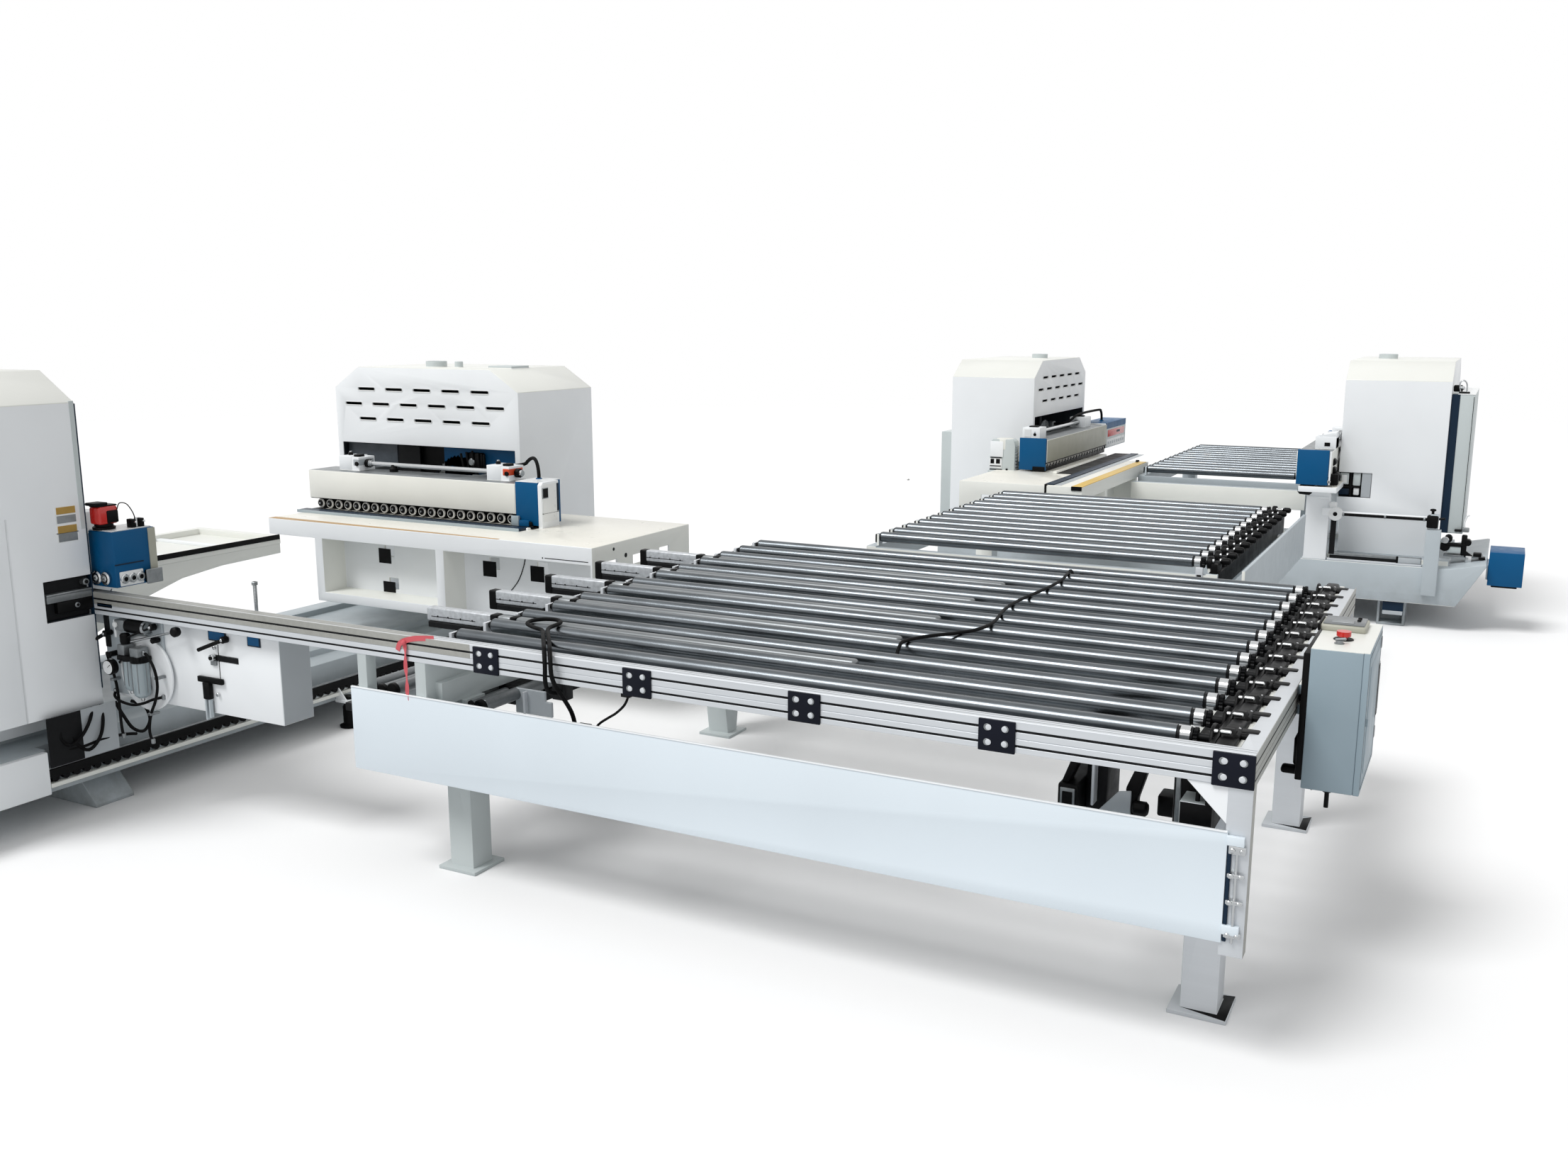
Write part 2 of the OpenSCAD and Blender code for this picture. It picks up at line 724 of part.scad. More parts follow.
// Frame between the heads that carries the panel edge into the first saw
module infeed_frame() {
    x = [281, 843];
    y = [-1325, -195];
    tube = 40;
    top = level - 8;
    color(cream) place_a() {
        for (side = [x[0], x[1] - tube])
            block([side, side + tube], y, [top - tube, top]);
        for (end = [y[0], y[1] - tube])
            block([x[0], x[1]], [end, end + tube], [top - tube, top]);
        for (side = [x[0] + 4, x[1] - tube + 4])
            prism_x([[0, 470], [-140, 520], [-330, 590], [-560, 690], [-760, 745], [-980, 768],
                [y[0], 775], [y[0], top - tube], [-200, top - tube], [-200, 700], [0, 700]],
                [side, side + 32]);
    }
}

// Air regulator, round plate and clamp levers under the front rail
module service_unit_a() {
    face = -rail_w;
    bowl_z = 560;
    color(alu) place_a() {
        block([head_len, head_len + 330], [face, face + 10], [458, rail_z]);
        rod_y(300, head_len + 230, [face + 10, face + 16], 560);
        block([head_len + 150, head_len + 270], [face + 16, face + 80], [bowl_z + 60, bowl_z + 110]);
        translate([head_len + 180, face + 48, bowl_z - 70]) cylinder(d = 46, h = 132);
        translate([head_len + 240, face + 48, bowl_z - 90]) cylinder(d = 62, h = 152);
        rod_y(40, head_len + 180, [face + 78, face + 100], bowl_z + 85);
        for (lever = [[40, 700], [60, 620], [310, 700]])
            translate([head_len + lever.x, face + 10, lever.y]) {
                rotate([-90, 0, 0]) cylinder(d = 18, h = 34);
                translate([-6, 22, -8]) rotate([0, 60, 0]) cube([12, 14, 84]);
            }
    }
}

// Foot plate and leg of a table
module leg(x, y, z) {
    foot = 160;
    block([x - foot / 2, x + foot / 2], [y - foot / 2, y + foot / 2], [0, 12]);
    block([x - leg_w / 2, x + leg_w / 2], [y - leg_w / 2, y + leg_w / 2], [12, z]);
}

// Plate with four screw heads on the front rail
module corner_plate(x, face) {
    w = 100;
    block([x, x + w], [face - 6, face], [rail_z - 2, rail_z + rail_h - 4]);
    for (u = [0.28, 0.72], v = [0.25, 0.72])
        rod_y(16, x + w * u, [face - 10, face - 5], rail_z + rail_h * v);
}

// Leg made of two slanted plates that meet over its foot
module slanted_leg(x, y, top) {
    spread = 130;
    prism_x([[y - spread, top], [y - spread, top - 25], [y - 40, 11], [y + 40, 11],
        [y + spread, top - 25], [y + spread, top], [y + spread - 60, top], [y, 110],
        [y - spread + 60, top]], [x - leg_w / 2, x + leg_w / 2]);
    block([x - 80, x + 80], [y - 80, y + 80], [0, 12]);
}

// Small box behind the front rail that a cord enters through a bore
module cord_box(x, y, z, bore_x, d) {
    difference() {
        block(x, y, z);
        translate([bore_x, (y[0] + y[1]) / 2, z[1] - 24]) cylinder(d = d + 2 * run_gap, h = 24 + cut);
    }
}

module table_frame_1() {
    x = table_1_x;
    y = [front_rail_y, front_rail_y + table_1_l];
    rail_end = head_a_x + head_len - 96;
    post_w = [60, 90];
    rear_z = rail_z - 60;
    low_top = low_beam_z + low_beam;
    color(alu) {
        rail_x([rail_end, x[1]], y[0], rail_z);
        rail_x([x[0], x[1]], y[1] - rail_w, rear_z);
        rail_y(x[1] - rail_w, [y[0] + rail_w, y[1] - rail_w], rail_z);
        // left bearing rail and the lower frame
        block([x[0], x[0] + rail_w], [y[0] + rail_w, y[1] - rail_w], [low_top, rail_z + 8]);
        for (side = [x[0] - 7, bearing_x[1] - 62])
            block([side, side + low_beam], [y[0] + rail_w, y[1] - rail_w], [low_beam_z, low_top]);
        for (cross = cross_y)
            block([x[0] + 60, bearing_x[1] - 50], [cross - 30, cross + 30], [low_beam_z + 20, low_top]);
        leg(x[0] + 40, y[0] + 190, low_beam_z + 1);
        leg(x[1] - 149, y[0] + 350, low_beam_z + 1);
        leg(x[1] - 143, y[1] - 400, low_beam_z + 1);
        slanted_leg(x[0] + 33, y[1] - 390, low_beam_z + 1);
        // posts and gussets at the right corners and the small posts on the left
        for (end = [0, 1])
            let (w = post_w[end], top = end == 0 ? rail_z : rear_z, foot = y[end] - end * rail_w) {
                block([x[1] - w, x[1]], [foot, foot + rail_w], [330, top]);
                prism_y([[x[1] - w, top], [x[1] - w - 90, top], [x[1] - w, top - 90]],
                    [foot + 10, foot + 16]);
            }
        block([-457, -417], [y[0], y[0] + rail_w], [560, rail_z]);
        block([x[0], x[0] + rail_w], [y[1] - rail_w, y[1]], [low_beam_z, rear_z]);
        block([x[0], x[0] + rail_w], [y[0], y[0] + rail_w + cut], [low_beam_z, rail_z]);
        // plates along the front rail
        for (plate = plate_x)
            corner_plate(plate, y[0]);
    }
    color(dark) {
        difference() {
            union() {
                block([bearing_x[1], bearing_x[1] + bearing_t], [y[0] + rail_w, y[1] - rail_w],
                    [low_top - cut, rail_z + rail_h - 2]);
                for (i = [0 : roller_n - 1])
                    block([bearing_x[0], bearing_x[0] + bearing_t],
                        [first_roller_y + i * roller_pitch - 24, first_roller_y + i * roller_pitch + 24],
                        [rail_z - 30, rail_z + rail_h - 6]);
            }
            for (i = [0 : roller_n - 1], side = bearing_x)
                rod_x(shaft_d + 2 * fit_gap, [side - cut, side + bearing_t + cut],
                    first_roller_y + i * roller_pitch, roller_z);
        }
        // feet that carry the bearing blocks on the left rail
        for (i = [0 : roller_n - 1])
            block([x[0] + rail_w, bearing_x[0] + cut],
                [first_roller_y + i * roller_pitch - 24, first_roller_y + i * roller_pitch + 24],
                [rail_z - 30, rail_z]);
        // glands and boxes in which the cables end
        for (gland = [[deck_cable_x[0], cross_y[0]], [deck_cable_x[1], cross_y[1]]])
            difference() {
                block([gland.x - 16, gland.x + 16], [gland.y - 16, gland.y + 16],
                    [low_top - cut, low_top + 34]);
                translate([gland.x, gland.y, low_top + 4]) cylinder(d = deck_cable_d + 2 * run_gap, h = 40);
            }
        difference() {
            block([rail_gland.x - 26, rail_gland.x + 26], [y[0] + rail_w, y[0] + rail_w + 40],
                [level + rail_gland.y - 28, level - 60]);
            rod_y(rail_cable_d + 2 * run_gap, rail_gland.x, [y[0] + rail_w - cut, y[0] + rail_w + 26],
                level + rail_gland.y);
        }
        difference() {
            block([618, 650], [y[0] + 8, y[0] + 36], [rail_z - 14, rail_z + cut - 1]);
            translate([634, y[0] + 22, rail_z - 15]) cylinder(d = plate_cable_d + 2 * run_gap, h = 12);
        }
    }
    // cover strip with its adjusting knobs beside the right rail
    color(paint) {
        block([bearing_x[1] + bearing_t + 26, x[1] - rail_w + cut], [y[0] + rail_w, y[1] - rail_w],
            [rail_z + rail_h - 22, rail_z + rail_h - 14]);
        for (i = [0 : roller_n - 1])
            rod_x(20, [x[1] - rail_w - 34, x[1] - rail_w + cut], first_roller_y + i * roller_pitch + 20,
                rail_z + rail_h - 8);
    }
}

module front_panel() {
    y = front_rail_y;
    end = table_1_x[1] - 53;
    color(paint) {
        block([-487, end], [y - 8, y], [366, 659]);
        for (z = [392, 626])
            block([end, end + 41], [y - 14, y], [z, z + 24]);
    }
    color(dark) {
        cord_box([380, 424], [y, y + 124], [level - 340, level - 254], 402, rail_cable_d);
        cord_box([484, 516], [y, y + 60], [level - 330, level - 250], 500, plate_cable_d);
    }
}

// Toothed wheel outline, tips on a circle
module sprocket_outline(d, teeth) {
    step = 360 / teeth;
    polygon([for (i = [0 : teeth - 1], k = [0 : 3])
        let (a = (i + [0.1, 0.4, 0.5, 1.0][k]) * step, r = k == 0 || k == 1 ? d / 2 : d / 2 - 5)
            [r * cos(a), r * sin(a)]]);
}

module roller(i) {
    y = first_roller_y + (i - 1) * roller_pitch;
    color("gray") {
        rod_x(roller_d, [roller_x[0], roller_x[1] - 74], y, roller_z);
        rod_x(roller_d - 4, [roller_x[1] - 75, roller_x[1] - 60], y, roller_z);
        rod_x(roller_d - 2, [roller_x[1] - 61, roller_x[1]], y, roller_z);
        rod_x(shaft_d, [bearing_x[0] - 6, bearing_x[1] + bearing_t + 20], y, roller_z);
        translate([roller_x[1] + 8, y, roller_z]) rotate([0, 90, 0])
            linear_extrude(10) sprocket_outline(48, 15);
    }
}

// Cross bars that rise between the rollers, on two long beams
module belt_lift() {
    bar_w = 40;
    bar_h = 75;
    bar_x = [-490, 1230];
    low = low_beam_z + low_beam + run_gap;
    bar_top = level - 8;
    beams_y = [front_rail_y + 200, front_rail_y + table_1_l - 180];
    color(alu) {
        for (i = [0 : 4]) {
            y = first_roller_y + (1.5 + 2 * i) * roller_pitch;
            difference() {
                block(bar_x, [y - bar_w / 2, y + bar_w / 2], [bar_top - bar_h, bar_top]);
                for (side = [-1, 1])
                    block([bar_x[0] - cut, bar_x[1] + cut],
                        [y + side * (bar_w / 2 - 2) - 3, y + side * (bar_w / 2 - 2) + 3],
                        [bar_top - 44, bar_top - 32]);
            }
        }
        for (x = [150, bar_x[1] - 160])
            block([x, x + 60], beams_y, [low, bar_top - bar_h - run_gap]);
    }
}

// Rollers that fit along a table
function row_count(y) = floor((y[1] - y[0] - 90) / pitch_2) + 1;

// Frame of a roller table with legs at two places along it, the near pair on its own foot height
module table_frame(x, y, leg_y, near_foot) {
    beam_h_2 = 100;
    beam_top = roller_z - 40;
    first = y[0] + 60;
    count = row_count(y);
    color(paint) {
        for (side = [x[0] - 60, x[1] + 10])
            block([side, side + 50], y, [beam_top - beam_h_2, beam_top]);
        for (end = [y[0], y[1] - 40])
            block([x[0] - 60, x[1] + 60], [end, end + 40], [beam_top - beam_h_2, beam_top - 6]);
        for (side = [x[0] - 35, x[1] + 35]) {
            translate([0, 0, near_foot]) leg(side, leg_y[0], beam_top - beam_h_2 + 1 - near_foot);
            leg(side, leg_y[1], beam_top - beam_h_2 + 1);
        }
    }
    color(dark) difference() {
        for (i = [0 : count - 1], side = [x[0] - 22, x[1] + 10])
            block([side, side + bearing_t], [first + i * pitch_2 - 22, first + i * pitch_2 + 22],
                [beam_top - cut, roller_z + 16]);
        for (i = [0 : count - 1], side = [x[0] - 22, x[1] + 10])
            rod_x(shaft_d + 2 * fit_gap, [side - cut, side + bearing_t + cut], first + i * pitch_2, roller_z);
    }
}

module roller_group(x, y) {
    first = y[0] + 60;
    color("gray") for (i = [0 : row_count(y) - 1]) {
        rod_x(roller_d, x, first + i * pitch_2, roller_z);
        rod_x(shaft_d, [x[0] - 26, x[1] + 60], first + i * pitch_2, roller_z);
        translate([x[1] + 26, first + i * pitch_2, roller_z]) rotate([0, 90, 0])
            linear_extrude(30) sprocket_outline(48, 12);
    }
}

module table_frame_2() {
    panel_x = table_2_x[1] + 160;
    table_frame(table_2_x, table_2_y, [table_2_y[0] + 250, table_2_y[1] - 250], 0);
    color(paint) {
        block([panel_x, panel_x + 14], table_2_y, [600, 830]);
        for (y = [table_2_y[0] + 200, table_2_y[1] - 240])
            block([table_2_x[1] + 60, panel_x], [y, y + 40], [700, 740]);
    }
}

module rollers_2() {
    roller_group(table_2_x, table_2_y);
}

module table_frame_3() {
    table_frame(table_3_x, table_3_y, [table_3_y[0] + 200, table_3_y[1] - 250], base_top_2);
}

module rollers_3() {
    roller_group(table_3_x, table_3_y);
}

// Control box hung on the right rail, its door and its stop button
module control_box() {
    x = [box_x, box_x + box_d - door_t];
    wall = 4;
    button = [x[0] + 70, box_y + 150];
    color("lightsteelblue") {
        difference() {
            block(x, [box_y, box_y + box_w], [box_z, box_z + box_h]);
            block([x[0] + wall, x[1] + cut], [box_y + wall, box_y + box_w - wall],
                [box_z + wall, box_z + box_h - wall]);
            translate([button.x, button.y, box_z + box_h - wall - cut]) cylinder(d = 22, h = wall + 2 * cut);
        }
        for (z = [box_z + 200, box_z + 260])
            block([table_1_x[1], x[0] + cut], [box_y + 60, box_y + 350], [z, z + 30]);
        block([x[0] + wall - cut, x[0] + 24], [box_y + 60, box_y + 350], [box_z + 60, box_z + 300]);
    }
}

module control_door() {
    x = box_x + box_d - door_t + run_gap;
    color("lightsteelblue") difference() {
        union() {
            block([x, x + door_t - 6], [box_y, box_y + box_w], [box_z, box_z + box_h]);
            block([x + door_t - 7, x + door_t - 4], [box_y + 60, box_y + box_w - 60],
                [box_z + 50, box_z + box_h - 50]);
        }
        rod_x(24, [x + door_t - 14, x + door_t], box_y + 40, box_z + box_h / 2);
    }
    // knuckles of the hinge on the far edge
    color(alu) for (z = [box_z + 50, box_z + box_h - 100]) {
        translate([hinge_x, hinge_y, z]) cylinder(d = 12, h = 50);
        block([hinge_x - 4, hinge_x + 4], [box_y + box_w - cut, hinge_y - 4], [z, z + 50]);
    }
    color(dark) rod_x(23, [x + door_t - 14, x + door_t], box_y + 40, box_z + box_h / 2);
}

module stop_button() {
    top = box_z + box_h;
    color("red") translate([box_x + 70, box_y + 150, 0]) {
        translate([0, 0, top + 12]) cylinder(d = 40, h = 14);
        translate([0, 0, top - 20]) cylinder(d = 22 - 2 * fit_gap, h = 33);
    }
}

// A cord as one tube swept along its route
function unit(v) = v / norm(v);
function tangent(p, i) =
    unit(p[min(i + 1, len(p) - 1)] - p[max(i - 1, 0)]);
function ring(p, i, r, sides) =
    let (t = tangent(p, i), a = unit(cross(t, abs(t.z) > 0.9 ? [1, 0, 0] : [0, 0, 1])), b = cross(t, a))
    [for (k = [0 : sides - 1]) p[i] + r * (cos(k * 360 / sides) * a + sin(k * 360 / sides) * b)];

module tube(p, d) {
    sides = 10;
    n = len(p);
    points = [for (i = [0 : n - 1], q = ring(p, i, d / 2, sides)) q];
    walls = [for (i = [0 : n - 2], k = [0 : sides - 1])
        let (a = i * sides + k, b = i * sides + (k + 1) % sides)
            each [[a, b + sides, b], [a, a + sides, b + sides]]];
    ends = [[for (k = [0 : sides - 1]) k], [for (k = [sides - 1 : -1 : 0]) (n - 1) * sides + k]];
    polyhedron(points, concat(walls, ends));
}

module rail_cable() {
    color(dark) translate([0, front_rail_y, level]) tube(rail_cable_route, rail_cable_d);
}

module deck_cable() {
    color(dark) translate([0, front_rail_y, level]) tube(deck_cable_route, deck_cable_d);
}

module plate_cable() {
    color(dark) translate([0, front_rail_y, level]) tube(plate_cable_route, plate_cable_d);
}

module beam_hose_b() {
    color(dark) place_b() translate([0, 0, level]) tube(hose_b_route, hose_d);
}

module beam_hose_c() {
    color(dark) place_c() translate([0, 0, level]) tube(hose_c_route, hose_d);
}

module pressure_beam_a() {
    color(paint) place_a() pressure_beam(beam_l_a, beam_out, columns_a, boxes_a, cap_l, far_cap_l);
}

module pressure_beam_b() {
    color(paint) place_b() {
        pressure_beam(beam_l, beam_out_b, columns_b, boxes_b, cap_l, 0);
        hose_mounts(beam_out_b, hose_b_inner, hose_b_outer);
    }
}

module pressure_beam_c() {
    color(paint) place_c() {
        pressure_beam(beam_l_2, beam_out, columns_c, boxes_c, cap_l_2, display_l);
        hose_mounts(beam_out, hose_c_inner, hose_c_outer);
    }
}

module pressure_beam_d() {
    color(paint) place_d() pressure_beam(beam_l_2, beam_out, columns_d, boxes_d, cap_l_2, far_cap_l);
}

module press_wheels_a() {
    color(dark) place_a() press_wheels(wheels_a, beam_out);
}

module press_wheels_b() {
    color(dark) place_b() press_wheels(wheels_b, beam_out_b);
}

module press_wheels_c() {
    color(dark) place_c() press_wheels(wheels_c, beam_out);
}

module press_wheels_d() {
    color(dark) place_d() press_wheels(wheels_d, beam_out);
}

module lift_shaft_a() {
    color(alu) place_a() lift_shaft(beam_out, boxes_a);
}

module lift_shaft_b() {
    color(alu) place_b() lift_shaft(beam_out_b, boxes_b);
}

module lift_shaft_c() {
    color(alu) place_c() lift_shaft(beam_out, boxes_c);
}

module lift_shaft_d() {
    color(alu) place_d() lift_shaft(beam_out, boxes_d);
}

module saw_motor_a() {
    color(blue) place_a() saw_motor(head_depth);
}

module saw_motor_b() {
    color(blue) place_b() saw_motor(head_depth);
}

module saw_motor_c() {
    color(blue) place_c() saw_motor(head_depth_2);
}

module saw_motor_d() {
    color(blue) place_d() saw_motor(head_depth_2);
}

module saw_blade_a() {
    color(alu) place_a() saw_blade();
}

module saw_blade_b() {
    color(alu) place_b() saw_blade();
}

module saw_blade_c() {
    color(alu) place_c() saw_blade();
}

module saw_blade_d() {
    color(alu) place_d() saw_blade();
}

base_beam_1();
base_beam_2();
infeed_frame();
service_unit_a();
cabinet_a();
work_table_a();
pressure_beam_a();
press_wheels_a();
lift_shaft_a();
saw_motor_a();
saw_blade_a();
cabinet_b();
work_table_b();
pressure_beam_b();
press_wheels_b();
lift_shaft_b();
saw_motor_b();
saw_blade_b();
cabinet_c();
work_table_c();
pressure_beam_c();
press_wheels_c();
lift_shaft_c();
saw_motor_c();
saw_blade_c();
cabinet_d();
work_table_d();
pressure_beam_d();
press_wheels_d();
lift_shaft_d();
saw_motor_d();
saw_blade_d();
table_frame_1();
front_panel();
belt_lift();
roller(1);  // roller_1
roller(2);  // roller_2
roller(3);  // roller_3
roller(4);  // roller_4
roller(5);  // roller_5
roller(6);  // roller_6
roller(7);  // roller_7
roller(8);  // roller_8
roller(9);  // roller_9
roller(10);  // roller_10
roller(11);  // roller_11
roller(12);  // roller_12
roller(13);  // roller_13
table_frame_2();
rollers_2();
table_frame_3();
rollers_3();
control_box();
control_door();
stop_button();
rail_cable();
deck_cable();
plate_cable();
beam_hose_b();
beam_hose_c();
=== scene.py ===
"""Looks of a line of two double end saws joined by roller tables."""

import json
import math

import bmesh
import bpy
from mathutils import Matrix, Vector


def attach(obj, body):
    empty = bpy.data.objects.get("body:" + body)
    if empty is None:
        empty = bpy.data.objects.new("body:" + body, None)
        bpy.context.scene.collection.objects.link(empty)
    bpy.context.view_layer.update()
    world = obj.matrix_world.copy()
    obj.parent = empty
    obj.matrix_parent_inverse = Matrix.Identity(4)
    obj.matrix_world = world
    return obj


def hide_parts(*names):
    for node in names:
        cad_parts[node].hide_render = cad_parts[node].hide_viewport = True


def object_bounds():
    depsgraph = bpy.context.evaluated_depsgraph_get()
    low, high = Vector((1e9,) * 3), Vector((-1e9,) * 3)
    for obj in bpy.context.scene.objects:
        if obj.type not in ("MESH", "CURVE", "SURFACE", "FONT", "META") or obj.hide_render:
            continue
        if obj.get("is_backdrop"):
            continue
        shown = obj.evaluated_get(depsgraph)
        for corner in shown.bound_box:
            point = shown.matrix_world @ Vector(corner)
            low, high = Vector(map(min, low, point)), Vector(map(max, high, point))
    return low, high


bl_info = {
    "name": "Double end saw line",
    "version": (1, 0, 0),
    "blender": (4, 5, 0),
    "location": "3D View > Sidebar > Saw line",
    "description": "Finishes, fittings and cables for a line of two double end saws",
    "category": "Object",
}

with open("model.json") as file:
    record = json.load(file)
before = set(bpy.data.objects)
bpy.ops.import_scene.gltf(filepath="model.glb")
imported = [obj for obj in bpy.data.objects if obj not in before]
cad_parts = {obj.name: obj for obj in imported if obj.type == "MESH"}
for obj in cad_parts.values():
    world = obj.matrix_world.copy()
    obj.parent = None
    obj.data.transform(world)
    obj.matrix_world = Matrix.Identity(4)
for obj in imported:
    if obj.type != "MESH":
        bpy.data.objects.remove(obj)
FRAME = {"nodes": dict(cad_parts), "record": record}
NODES = FRAME["nodes"]
CAD_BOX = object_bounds()
BODY_OF = {name: body for body, members in FRAME["record"]["behaviour"]["bodies"].items() for name in members}
SLOTS = {row["node"]: row["material_slot"] for row in FRAME["record"]["subparts"]}

# Places of the four heads and of the roller tables, in millimetres
LEVEL = 870
FRONT = -3750
HEADS = {"a": (-3106, FRONT), "b": (-2916, -1375), "c": (7, 3525), "d": (2021, 3525)}
HEAD_BODY = {"a": "line", "b": "head_b", "c": "line", "d": "head_d"}
MM = 0.001


def place_line(x, y, z):
    return Vector((x, y, z)) * MM


def place_rail(x, y, z):
    """x along the line, y inwards from the front rail's face, z from the work level."""
    return Vector((x, FRONT + y, LEVEL + z)) * MM


# How each head's own x and y run along the line's
HEAD_AXES = {"a": ((1, 0), (0, -1)), "b": ((1, 0), (0, 1)), "c": ((0, -1), (-1, 0)), "d": ((0, 1), (-1, 0))}


def head_place(key):
    """Turns a head's millimetres into the line's metres."""
    (a, b), (c, d) = HEAD_AXES[key]
    start = HEADS[key]
    return lambda x, y, z: Vector((start[0] + a * x + b * y, start[1] + c * x + d * y, z)) * MM


def head_spot(key, spot):
    """A place in the line's metres in a head's millimetres."""
    (a, b), (c, d) = HEAD_AXES[key]
    x, y, z = spot / MM
    x, y = x - HEADS[key][0], y - HEADS[key][1]
    return a * x + c * y, b * x + d * y, z


PLACES = {key: head_place(key) for key in HEADS}
place_a, place_b, place_c, place_d = PLACES.values()


# ---------------------------------------------------------------- node trees
class Nodes:
    """Adds nodes to a tree and wires them."""

    def __init__(self, tree):
        self.tree = tree
        tree.nodes.clear()

    def __call__(self, kind, **settings):
        """A node; names in capitals set inputs, by label or as In0, to a value, a socket or a node's first output."""
        made = self.tree.nodes.new(kind)
        for key, value in settings.items():
            if not key[0].isupper():
                setattr(made, key, value)
                continue
            number = key[2:] if key.startswith("In") else ""
            socket = made.inputs[int(number) if number.isdigit() else key.replace("_", " ")]
            if isinstance(value, bpy.types.Node):
                value = value.outputs[0]
            if isinstance(value, bpy.types.NodeSocket):
                self.tree.links.new(value, socket)
            else:
                socket.default_value = value
        return made

    def maths(self, operation, first, second, **settings):
        return self("ShaderNodeMath", operation=operation, In0=first, In1=second, **settings).outputs[0]

    def noise(self, source, scale, detail=4.0, rough=0.55, stretch=None):
        """Noise on object coordinates, stretched along an axis where asked."""
        if stretch:
            source = self("ShaderNodeMapping", Scale=stretch, Vector=source).outputs["Vector"]
        return self("ShaderNodeTexNoise", Scale=scale, Detail=detail, Roughness=rough, Vector=source).outputs["Fac"]

    def spread(self, value, low, high, to_low, to_high):
        """Maps a value's range low to high onto to_low to to_high."""
        return self("ShaderNodeMapRange", From_Min=low, From_Max=high, To_Min=to_low, To_Max=to_high,
                    Value=value).outputs["Result"]

    def blend(self, factor, first, second):
        """Mixes two colours; each is a colour or a socket."""
        return self("ShaderNodeMix", data_type="RGBA", In0=factor, In6=first, In7=second).outputs[2]


class Tree(Nodes):
    """A geometry node tree, its inputs given by name with a default or the kind of data they take."""

    def __init__(self, name, **inputs):
        super().__init__(bpy.data.node_groups.new(name, "GeometryNodeTree"))
        for label, value in {"Geometry": "Geometry", **inputs}.items():
            kind = value if isinstance(value, str) else type(value).__name__.title()
            socket = self.tree.interface.new_socket(label.replace("_", " "), in_out="INPUT",
                                                    socket_type="NodeSocket" + kind)
            if kind != value:
                socket.default_value = value
        self.tree.interface.new_socket("Geometry", in_out="OUTPUT", socket_type="NodeSocketGeometry")
        self.given = self("NodeGroupInput").outputs

    def __getitem__(self, label):
        return self.given[label]

    def shown(self, geometry, finish_name, **settings):
        return self("GeometryNodeSetMaterial", Geometry=geometry, Material=self[finish_name], **settings)

    def moved(self, geometry, **settings):
        return self("GeometryNodeTransform", Geometry=geometry, **settings)

    def joined(self, *parts):
        made = self("GeometryNodeJoinGeometry")
        for part in parts:
            self.tree.links.new(part.outputs[0], made.inputs["Geometry"])
        return made

    def row(self, axis):
        """Points along an axis by the tree's count and pitch."""
        step = self("ShaderNodeCombineXYZ", **{axis: self["Pitch"]})
        return self("GeometryNodeMeshLine", Offset=step, Count=self["Count"])

    def finished(self, points, geometry, finish_name, picked=False, **settings):
        """Copies a geometry onto points, makes the copies real, sets their finish and ends the tree."""
        copies = self("GeometryNodeInstanceOnPoints", Points=points, Instance=geometry, **settings)
        real = self("GeometryNodeRealizeInstances", Geometry=copies)
        choice = {"Selection": self("GeometryNodeMaterialSelection", Material=self[finish_name])} if picked else {}
        self("NodeGroupOutput", Geometry=self.shown(real, finish_name, **choice))
        return self.tree


def baked(name, tree, mesh=None, offset=None, **settings):
    """Runs a tree on a mesh with the given inputs and returns the result as a plain object."""
    holder = linked(name + "_source", mesh or bpy.data.meshes.new("seed"))
    modifier = holder.modifiers.new("Nodes", "NODES")
    modifier.node_group = tree
    for item in tree.interface.items_tree:
        key = item.name.replace(" ", "_")
        if item.item_type == "SOCKET" and item.in_out == "INPUT" and key in settings:
            modifier[item.identifier] = settings[key]
    holder.update_tag()
    result = evaluated(holder)
    bpy.data.objects.remove(holder)
    result.name = name
    made = linked(name, result)
    if offset is not None:
        place_mesh(made, offset)
    return made


def evaluated(holder):
    """A plain mesh of what an object's modifiers make, which it then loses."""
    depsgraph = bpy.context.evaluated_depsgraph_get()
    result = bpy.data.meshes.new_from_object(holder.evaluated_get(depsgraph), depsgraph=depsgraph)
    holder.modifiers.clear()
    return result


def linked(name, data):
    """A new object in the scene."""
    made = bpy.data.objects.new(name, data)
    bpy.context.scene.collection.objects.link(made)
    return made


# ---------------------------------------------------------------- finishes
def linear(colour):
    """An sRGB colour in 0 to 255 as Blender's linear one."""
    parts = [c / 255 for c in colour]
    return tuple(p / 12.92 if p <= 0.04045 else ((p + 0.055) / 1.055) ** 2.4 for p in parts) + (1.0,)


def shade(colour, factor):
    """A colour made darker by a factor."""
    return tuple(c * factor for c in colour[:3]) + (1.0,)


